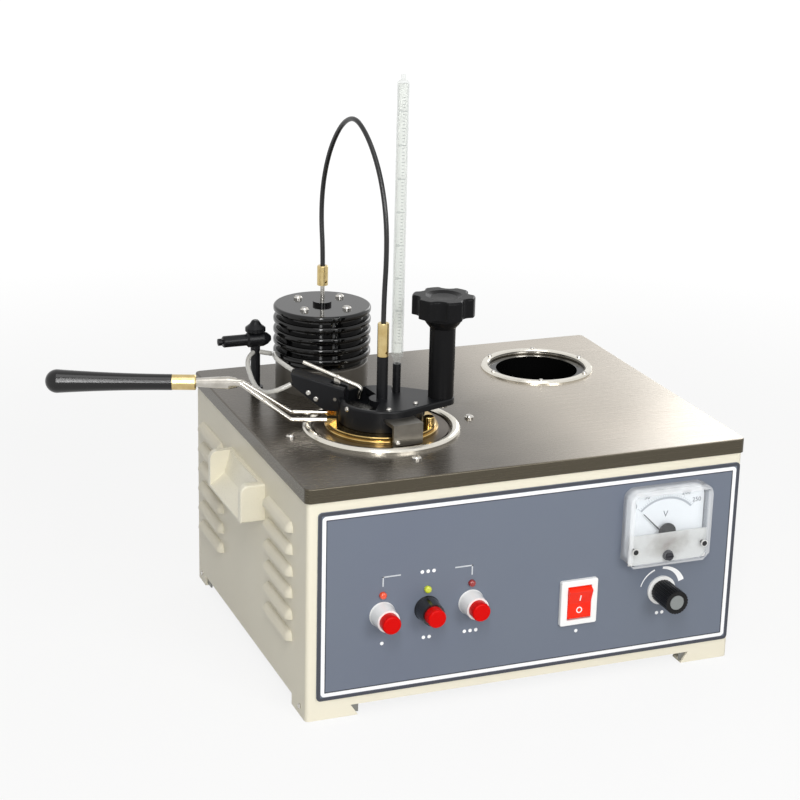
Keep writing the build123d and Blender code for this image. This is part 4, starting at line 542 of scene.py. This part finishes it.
NODE_FINISHES = {
    "cream_enamel": ["case_shell"],
    "zinc_plate": ["base_pan", "control_pot"],
    "brushed_stainless": ["top_plate"],
    "polyester_film": ["front_panel"],
    "cream_abs": ["left_handle", "right_handle"],
    "nickel_plate": ["case_screws", "ring_screws", "motor_screws", "lid_screws"],
    "painted_screw": ["meter_screws"],
    "polished_stainless": ["stove_ring", "well_ring"],
    "stained_iron": ["air_bath", "heater_plate"],
    "mineral_fibre": ["insulation_jacket"],
    "black_enamel": ["well_liner", "motor_housing"],
    "polished_phenolic": ["handle_grip"],
    "hammered_paint": ["motor_body"],
    "ground_steel": ["motor_shaft"],
    "turned_brass": ["motor_coupling", "stirrer_coupling", "handle_ferrule"],
    "heated_brass": ["cup"],
    "black_oxide": ["valve_post", "valve_body", "valve_knob", "lid", "lid_cover", "burner_block",
                    "stirrer_column", "thermometer_holder"],
    "moulded_phenolic": ["shutter_knob"],
    "bright_nickel": ["handle_fork", "burner_tube"],
    "spring_steel": ["clip_plate"],
    "satin_stainless": ["stirrer", "shutter_plate", "shutter_crank"],
    "white_nylon": ["switch_bezel"],
    "red_polycarbonate": ["switch_paddle"],
    "red_abs": ["button_left", "button_middle", "button_right"],
    "white_paint": ["meter_case", "meter_dial"],
    "black_paint": ["meter_needle", "zero_screw"],
    "clear_acrylic": ["meter_cover"],
    "black_nylon": ["power_inlet"],
    "stem_glass": ["thermometer_glass"],
    "opal_glass": ["thermometer_scale"],
    "knob_abs": ["control_knob"],
    "bezel_abs": ["button_bezels"],
    "lens_acrylic": ["indicator_lamps"],
}


# --- Making meshes ---------------------------------------------------------------------------
MATERIALS = {}
FACING = Matrix(((1, 0, 0), (0, 0, -1), (0, 1, 0))).to_4x4()  # flat work stood up to face the user


def piece(name, bm, finish_name, body, smooth=None):
    """Turn a bmesh into a finished piece that rides on a body."""
    bmesh.ops.remove_doubles(bm, verts=bm.verts, dist=1e-7)
    bmesh.ops.recalc_face_normals(bm, faces=bm.faces)
    mesh = bpy.data.meshes.new(name)
    bm.to_mesh(mesh)
    bm.free()
    made = bpy.data.objects.new(name, mesh)
    bpy.context.scene.collection.objects.link(made)
    mesh.materials.append(MATERIALS[finish_name])
    if smooth is not None:
        mesh.shade_smooth()
        mesh.set_sharp_from_angle(angle=radians(smooth))
    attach(made, body)


def bar(bm, x, y, width, height, thick, turn=0.0):
    """A flat bar centred at a place in the plane, in metres, with its back at the plane."""
    found = bmesh.ops.create_cube(bm, size=1.0)["verts"]
    bmesh.ops.scale(bm, verts=found, vec=(width, height, thick))
    bmesh.ops.translate(bm, verts=found, vec=(0, 0, thick / 2))
    bmesh.ops.rotate(bm, verts=found, cent=(0, 0, 0), matrix=Matrix.Rotation(turn, 3, "Z"))
    bmesh.ops.translate(bm, verts=found, vec=(x, y, 0))


def raise_faces(bm, faces, thick):
    """Give flat faces a thickness."""
    raised = bmesh.ops.extrude_face_region(bm, geom=faces)["geom"]
    bmesh.ops.translate(
        bm, verts=[part for part in raised if isinstance(part, bmesh.types.BMVert)], vec=(0, 0, thick))


def arc(bm, radius, width, start_turn, end_turn, thick, steps, end_width=None):
    """A flat arc or ring, which may swell from one width to another, bridged from short edges."""
    last = end_width or width
    rows = []
    for number in range(steps + 1):
        part = number / steps
        turn = start_turn + (end_turn - start_turn) * part
        half = (width + (last - width) * part) / 2
        rows.append([bm.verts.new((r * cos(turn), r * sin(turn), 0)) for r in (radius - half, radius + half)])
    edges = [bm.edges.new(row) for row in rows]
    faces = []
    for one, two in zip(edges, edges[1:]):
        faces += bmesh.ops.bridge_loops(bm, edges=[one, two])["faces"]
    raise_faces(bm, faces, thick)


def frame_rule(bm, left, right, low, high, width, corner, thick):
    """A rule round a rectangle with rounded corners, made by insetting one filled outline."""
    steps = 6
    outline = []
    for cx, cy, first in ((right - corner, high - corner, 0), (left + corner, high - corner, pi / 2),
                          (left + corner, low + corner, pi), (right - corner, low + corner, 1.5 * pi)):
        for number in range(steps + 1):
            turn = first + pi / 2 * number / steps
            outline.append(bm.verts.new((cx + corner * cos(turn), cy + corner * sin(turn), 0)))
    face = bm.faces.new(outline)
    bm.normal_update()
    inset = bmesh.ops.inset_individual(bm, faces=[face], thickness=width, use_even_offset=True)["faces"]
    bmesh.ops.delete(bm, geom=[face], context="FACES_ONLY")
    raise_faces(bm, inset, thick)


def stand(bm, origin):
    """Stand flat work up at a place on the front."""
    bmesh.ops.transform(bm, matrix=Matrix.Translation(origin) @ FACING, verts=bm.verts)


def words(text, size, depth, centre):
    """Figures or a letter as a bmesh, centred at a place in the plane, in metres."""
    curve = bpy.data.curves.new("words", "FONT")
    curve.body = text
    curve.size = size
    curve.extrude = depth / 2
    curve.resolution_u = 3
    curve.align_x = "CENTER"
    curve.align_y = "CENTER"
    holder = bpy.data.objects.new("words", curve)
    mesh = bpy.data.meshes.new_from_object(holder)
    bm = bmesh.new()
    bm.from_mesh(mesh)
    bmesh.ops.translate(bm, verts=bm.verts, vec=(centre[0], centre[1], depth / 2))
    bpy.data.objects.remove(holder)
    bpy.data.curves.remove(curve)
    bpy.data.meshes.remove(mesh)
    return bm


def join(bm, other):
    """Add another bmesh to one."""
    mesh = bpy.data.meshes.new("part")
    other.to_mesh(mesh)
    other.free()
    bm.from_mesh(mesh)
    bpy.data.meshes.remove(mesh)


# --- Operators: one for each group of pieces --------------------------------------------------
class TESTER_OT_camera(bpy.types.Operator):
    """Place the camera in front of the tester, a little to its left and above"""

    bl_idname = "tester.camera"
    bl_label = "Camera"

    def execute(self, context):
        lens = bpy.data.cameras.new("camera")
        lens.lens = CAMERA_LENS
        lens.sensor_width = 36.0
        lens.clip_start = 0.05
        camera = bpy.data.objects.new("camera", lens)
        context.scene.collection.objects.link(camera)
        right = Vector(CAMERA_RIGHT).normalized()
        up = Vector(CAMERA_UP).normalized()
        back = right.cross(up)
        turned = Matrix((right, back.cross(right), back)).transposed().to_4x4()
        camera.matrix_world = Matrix.Translation(CASE + Vector(CAMERA_PLACE)) @ turned
        context.scene.camera = camera
        return {"FINISHED"}


class TESTER_OT_stage(bpy.types.Operator):
    """Add a pale floor, soft lamps and plain surroundings"""

    bl_idname = "tester.stage"
    bl_label = "Studio"

    def execute(self, context):
        studio = context.scene.tester_studio
        bm = bmesh.new()
        bmesh.ops.create_grid(bm, x_segments=1, y_segments=1, size=FLOOR_REACH)
        bmesh.ops.translate(bm, verts=bm.verts, vec=(0, 0, -FLOOR_DROP))
        mesh = bpy.data.meshes.new("floor")
        bm.to_mesh(mesh)
        bm.free()
        floor = bpy.data.objects.new("floor", mesh)
        context.scene.collection.objects.link(floor)
        mesh.materials.append(self.floor_paper())
        for name, (place, width, height) in LAMPS.items():
            self.lamp(context, name, getattr(studio, name), place, width, height)
        world = bpy.data.worlds.new("surroundings")
        context.scene.world = world
        world.use_nodes = True
        tree = world.node_tree
        lit = tree.nodes["Background"]
        lit.inputs["Color"].default_value = WHITE
        lit.inputs["Strength"].default_value = studio.world
        white = add(tree, "ShaderNodeBackground", {"Color": WHITE, "Strength": 1.0})
        mixed = add(tree, "ShaderNodeMixShader", {"Fac": shown_plain(tree)})
        tree.links.new(lit.outputs[0], mixed.inputs[1])
        tree.links.new(white.outputs[0], mixed.inputs[2])
        tree.links.new(mixed.outputs[0], tree.nodes["World Output"].inputs["Surface"])
        return {"FINISHED"}

    def lamp(self, context, name, power, place, width, height):
        """A flat lamp that faces the middle of the tester."""
        light = bpy.data.lights.new(name, "AREA")
        light.energy = power
        light.shape = "RECTANGLE"
        light.size = width
        light.size_y = height
        holder = bpy.data.objects.new(name, light)
        context.scene.collection.objects.link(holder)
        target = at(0, 0, 120)
        spot = CASE + Vector(place)
        holder.location = spot
        holder.rotation_euler = (target - spot).to_track_quat("-Z", "Y").to_euler()

    def floor_paper(self):
        """White paper: it keeps the tester's shadow close by, and is plain white further away."""
        made, tree, shader, place = start("floor_paper")
        put(shader, Base_Color=(0.52, 0.52, 0.51, 1), Roughness=0.9)
        glow = add(tree, "ShaderNodeEmission", {"Color": WHITE, "Strength": 1.08})
        away = add(tree, "ShaderNodeVectorMath", {0: place, 1: tuple(CASE)}, operation="DISTANCE")
        share = add(tree, "ShaderNodeMapRange", {
            "Value": away.outputs["Value"], "From Min": 0.45, "From Max": 1.6, "To Min": 0.78, "To Max": 1.0},
            interpolation_type="SMOOTHSTEP")
        part = add(tree, "ShaderNodeMath", {0: shown_plain(tree), 1: share.outputs["Result"]},
                   operation="MULTIPLY")
        mixed = add(tree, "ShaderNodeMixShader", {"Fac": part.outputs[0]})
        tree.links.new(shader.outputs[0], mixed.inputs[1])
        tree.links.new(glow.outputs[0], mixed.inputs[2])
        tree.links.new(mixed.outputs[0], tree.nodes["Material Output"].inputs["Surface"])
        return made


class TESTER_OT_finishes(bpy.types.Operator):
    """Make every finish and give the solids theirs"""

    bl_idname = "tester.finishes"
    bl_label = "Finishes"

    def execute(self, context):
        MATERIALS.update(make_materials(context.scene.tester_colours))
        for name, nodes in NODE_FINISHES.items():
            for node in nodes:
                for place in NODES[node].material_slots:
                    place.material = MATERIALS[name]
        return {"FINISHED"}


def nurbs(name, points, radius, finish_name):
    """A smooth curve through the space of its points, in metres, with a round section."""
    curve = bpy.data.curves.new(name, "CURVE")
    curve.dimensions = "3D"
    curve.bevel_depth = radius
    curve.bevel_resolution = 5
    curve.resolution_u = 10
    curve.use_fill_caps = True
    line = curve.splines.new("NURBS")
    line.points.add(len(points) - 1)
    for held, place in zip(line.points, points):
        held.co = (*place, 1)
    line.order_u = 3
    line.use_endpoint_u = True
    made = bpy.data.objects.new(name, curve)
    bpy.context.scene.collection.objects.link(made)
    curve.materials.append(MATERIALS[finish_name])
    return made


class TESTER_OT_lines(bpy.types.Operator):
    """Add the flexible drive between motor and stirrer, and the two gas hoses"""

    bl_idname = "tester.lines"
    bl_label = "Drive and Hoses"

    def execute(self, context):
        along = (STOVE - MOTOR).normalized()
        drive = [on_deck(*(MOTOR + along * s + Vector((0, 0, z)))) for s, z in DRIVE_ROUTE]
        made = nurbs("flexible_drive", drive, LINE_RADIUS * MM, "pvc_sheath")
        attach(made, "lid_group")
        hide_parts("flexible_shaft")
        for name, route, node, length in (
                ("upper_hose", UPPER_HOSE, "gas_hose_upper", UPPER_LENGTH),
                ("lower_hose", LOWER_HOSE, "gas_hose_lower", LOWER_LENGTH)):
            points = [on_deck(*p) for p in route]
            made = nurbs(name, points, LINE_RADIUS * MM, "silicone_hose")
            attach(made, "case")
            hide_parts(node)
        return {"FINISHED"}


class TESTER_OT_panel_print(bpy.types.Operator):
    """Print the rules, the line over the lamps and the arc round the knob on the front panel"""

    bl_idname = "tester.panel_print"
    bl_label = "Panel Printing"

    def execute(self, context):
        sizes = context.scene.tester_panel_sizes
        low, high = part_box("front_panel")
        origin = on_panel(0, 0)
        left, right, bottom, top = low.x - CASE.x, high.x - CASE.x, low.z, high.z
        rule_inset = sizes.edge + sizes.rule_gap
        rules = (  # name, finish, inset from the panel's rim, width, corner and thickness
            ("panel_edge", "dark_ink", 0.1 * MM, sizes.edge, 2.9 * MM, sizes.ink),
            ("panel_rule", "white_ink", rule_inset, sizes.rule, 2.8 * MM, sizes.ink),
            ("panel_shadow_rule", "dark_ink", rule_inset + sizes.rule, 0.8 * MM, 0.9 * MM, sizes.ink * 0.6),
        )
        for name, ink_name, inset, width, corner, thick in rules:
            bm = bmesh.new()
            frame_rule(bm, left + inset, right - inset, bottom + inset, top - inset, width, corner, thick)
            stand(bm, origin)
            piece(name, bm, ink_name, "case")
        self.marks(sizes, origin)
        return {"FINISHED"}

    def marks(self, sizes, origin):
        """The pale lines over the lamps, generic marks under the controls and the arc round the knob."""
        bm = bmesh.new()
        line = sizes.line
        level = LAMP_LINE * MM
        for x, way in ((BUTTONS[0] * MM, 1), (BUTTONS[2] * MM, -1)):
            bar(bm, x, level - 3.2 * MM, line, 7.2 * MM, sizes.ink)
            bar(bm, x + way * 6.0 * MM, level, 12.9 * MM, line, sizes.ink)
        stand(bm, origin)
        piece("lamp_lines", bm, "pale_ink", "case")
        bm = bmesh.new()
        pitch = 4.2
        for x, z, count in DOTS:
            for number in range(count):
                arc(bm, 0.65 * MM, 1.29 * MM, 0, 2 * pi, sizes.ink, 12)
                bmesh.ops.translate(
                    bm, verts=[v for v in bm.verts if not v.tag],
                    vec=((x + (number - (count - 1) / 2) * pitch) * MM, z * MM, 0))
                for vert in bm.verts:
                    vert.tag = True
        stand(bm, origin)
        piece("control_dots", bm, "white_ink", "case")
        bm = bmesh.new()
        radius = 16.5 * MM
        arc(bm, radius, 0.5 * MM, radians(165), radians(110), sizes.ink, 16, 1.1 * MM)
        arc(bm, radius, 1.6 * MM, radians(88), radians(18), sizes.ink, 20, 4.4 * MM)
        stand(bm, on_panel(*KNOB))
        piece("knob_arc", bm, "white_ink", "case")


class TESTER_OT_control_trim(bpy.types.Operator):
    """Add the knob's collar and the marks on the rocker switch"""

    bl_idname = "tester.control_trim"
    bl_label = "Control Trim"

    def execute(self, context):
        bm = bmesh.new()
        arc(bm, 9.2 * MM, 2.8 * MM, 0, 2 * pi, 1.6 * MM, 40)
        stand(bm, on_panel(*KNOB, 0.1))
        piece("knob_collar", bm, "white_nylon", "case", smooth=30)
        # The rocker is dished: each half of its face leans its own way about the pin.
        pin = on_panel(*ROCKER, -1.5)
        thick, reach, proud = 0.1 * MM, 4.7, 5.45
        up = Vector((0, -sin(ROCKER_LEAN), cos(ROCKER_LEAN)))
        out = Vector((0, -cos(ROCKER_LEAN), -sin(ROCKER_LEAN)))
        for name, way in (("mark_on", 1), ("mark_off", -1)):
            dish = ROCKER_DISH * way
            along = up * cos(dish) + out * sin(dish)
            normal = out * cos(dish) - up * sin(dish)
            spot = pin + (up * (reach * way) + out * proud) * MM
            bm = bmesh.new()
            if way == 1:
                bar(bm, 0, 0, 0.8 * MM, 4.6 * MM, thick)
            else:
                arc(bm, 1.9 * MM, 0.7 * MM, 0, 2 * pi, thick, 28)
            turned = Matrix((Vector((1, 0, 0)), along, normal)).transposed().to_4x4()
            bmesh.ops.transform(bm, matrix=Matrix.Translation(spot) @ turned, verts=bm.verts)
            piece(name, bm, "white_ink", "rocker")
        return {"FINISHED"}


class TESTER_OT_meter_dial(bpy.types.Operator):
    """Print the meter's scale and add its frosted strip and hub cover"""

    bl_idname = "tester.meter_dial"
    bl_label = "Meter"

    def execute(self, context):
        ink = 0.08 * MM
        pivot = on_panel(*METER_PIVOT)
        first, sweep, marks = 45, 90, 25
        bm = bmesh.new()
        arc(bm, 27.5 * MM, 1.5 * MM, radians(first), radians(first + sweep), ink, 40)
        for number in range(marks + 1):
            turn = radians(first + sweep * number / marks)
            long = 3.0 if number % 5 == 0 else 1.6
            radius = (28.2 + long / 2) * MM
            bar(bm, radius * cos(turn), radius * sin(turn), long * MM, 0.3 * MM, ink, turn)
        stand(bm, pivot)
        piece("dial_scale", bm, "grey_ink", "case")
        bm = bmesh.new()
        for number, text in enumerate(("250", "200", "150", "100", "50", "0")):
            turn = radians(first + sweep / 5 * number)
            join(bm, words(text, 4.6 * MM, ink, (33.6 * MM * cos(turn), 33.4 * MM * sin(turn))))
        join(bm, words("V", 6.5 * MM, ink, (0, 15.5 * MM)))
        stand(bm, pivot)
        piece("dial_numbers", bm, "dial_ink", "case")
        bm = bmesh.new()
        arc(bm, 3.3 * MM, 6.5 * MM, 0, pi, 1.0 * MM, 20)
        stand(bm, on_panel(*METER_HUB))
        piece("hub_cover", bm, "black_styrene", "case")
        bm = bmesh.new()
        bar(bm, 0, 0, *(size * MM for size in STRIP_SIZE))
        stand(bm, on_panel(*METER_STRIP))
        piece("frosted_strip", bm, "frosted_acrylic", "case")
        return {"FINISHED"}


class TESTER_OT_thermometer(bpy.types.Operator):
    """Mark the divisions and numbers on the thermometer's scale"""

    bl_idname = "tester.thermometer"
    bl_label = "Thermometer Scale"

    def execute(self, context):
        low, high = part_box("thermometer_scale")
        middle = (low + high) / 2
        height = high.z - low.z
        ink = 0.06 * MM
        count, spare = 75, 3  # marks, and the blank divisions left at each end
        bm = bmesh.new()
        for number in range(count):
            long = 3.4 if number % 10 == 0 else (2.4 if number % 5 == 0 else 1.5)
            level = height * (number + spare) / (count + 2 * spare)
            bar(bm, 1.3 * MM - (3.4 - long) * 0.2 * MM, level, long * MM, 0.35 * MM, ink)
        for number in range(0, count, 10):
            level = height * (number + spare) / (count + 2 * spare)
            join(bm, words(str(number), 2.5 * MM, ink, (-1.5 * MM, level)))
        foot = Matrix.Translation((middle.x, middle.y, low.z))
        face = Matrix.Translation((0, -0.36 * MM, 0))
        turned = Matrix.Rotation(SCALE_TURN, 4, "Z")
        bmesh.ops.transform(bm, verts=bm.verts, matrix=foot @ turned @ face @ FACING)
        piece("thermometer_marks", bm, "scale_ink", "thermometer")
        return {"FINISHED"}


class TESTER_PT_sidebar(bpy.types.Panel):
    """The tester's steps, in order"""

    bl_idname = "TESTER_PT_sidebar"
    bl_label = "Flash Point Tester"
    bl_space_type = "VIEW_3D"
    bl_region_type = "UI"
    bl_category = "Tester"

    def draw(self, context):
        column = self.layout.column(align=True)
        for operator in OPERATORS:
            column.operator(operator.bl_idname)
        for group in ("tester_panel_sizes", "tester_colours", "tester_studio"):
            held = getattr(context.scene, group)
            for name in held.__annotations__:
                self.layout.prop(held, name)


OPERATORS = (
    TESTER_OT_camera,
    TESTER_OT_finishes,
    TESTER_OT_lines,
    TESTER_OT_stage,
    TESTER_OT_panel_print,
    TESTER_OT_control_trim,
    TESTER_OT_meter_dial,
    TESTER_OT_thermometer,
)
GROUPS = {
    "tester_panel_sizes": TesterPanelSizes,
    "tester_colours": TesterColours,
    "tester_studio": TesterStudio,
}


def register():
    """Register the groups, the operators and the panel."""
    for name, group in GROUPS.items():
        bpy.utils.register_class(group)
        setattr(bpy.types.Scene, name, bpy.props.PointerProperty(type=group))
    for operator in OPERATORS:
        bpy.utils.register_class(operator)
    bpy.utils.register_class(TESTER_PT_sidebar)


def unregister():
    """Take everything away again, last first."""
    bpy.utils.unregister_class(TESTER_PT_sidebar)
    for operator in reversed(OPERATORS):
        bpy.utils.unregister_class(operator)
    for name, group in reversed(list(GROUPS.items())):
        delattr(bpy.types.Scene, name)
        bpy.utils.unregister_class(group)


def main():
    """Dress the tester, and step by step."""
    register()
    bpy.context.scene.view_settings.view_transform = "Standard"
    for operator in OPERATORS:
        group, name = operator.bl_idname.split(".")
        getattr(getattr(bpy.ops, group), name)()
    bpy.context.view_layer.update()


if __name__ == "__main__":
    main()
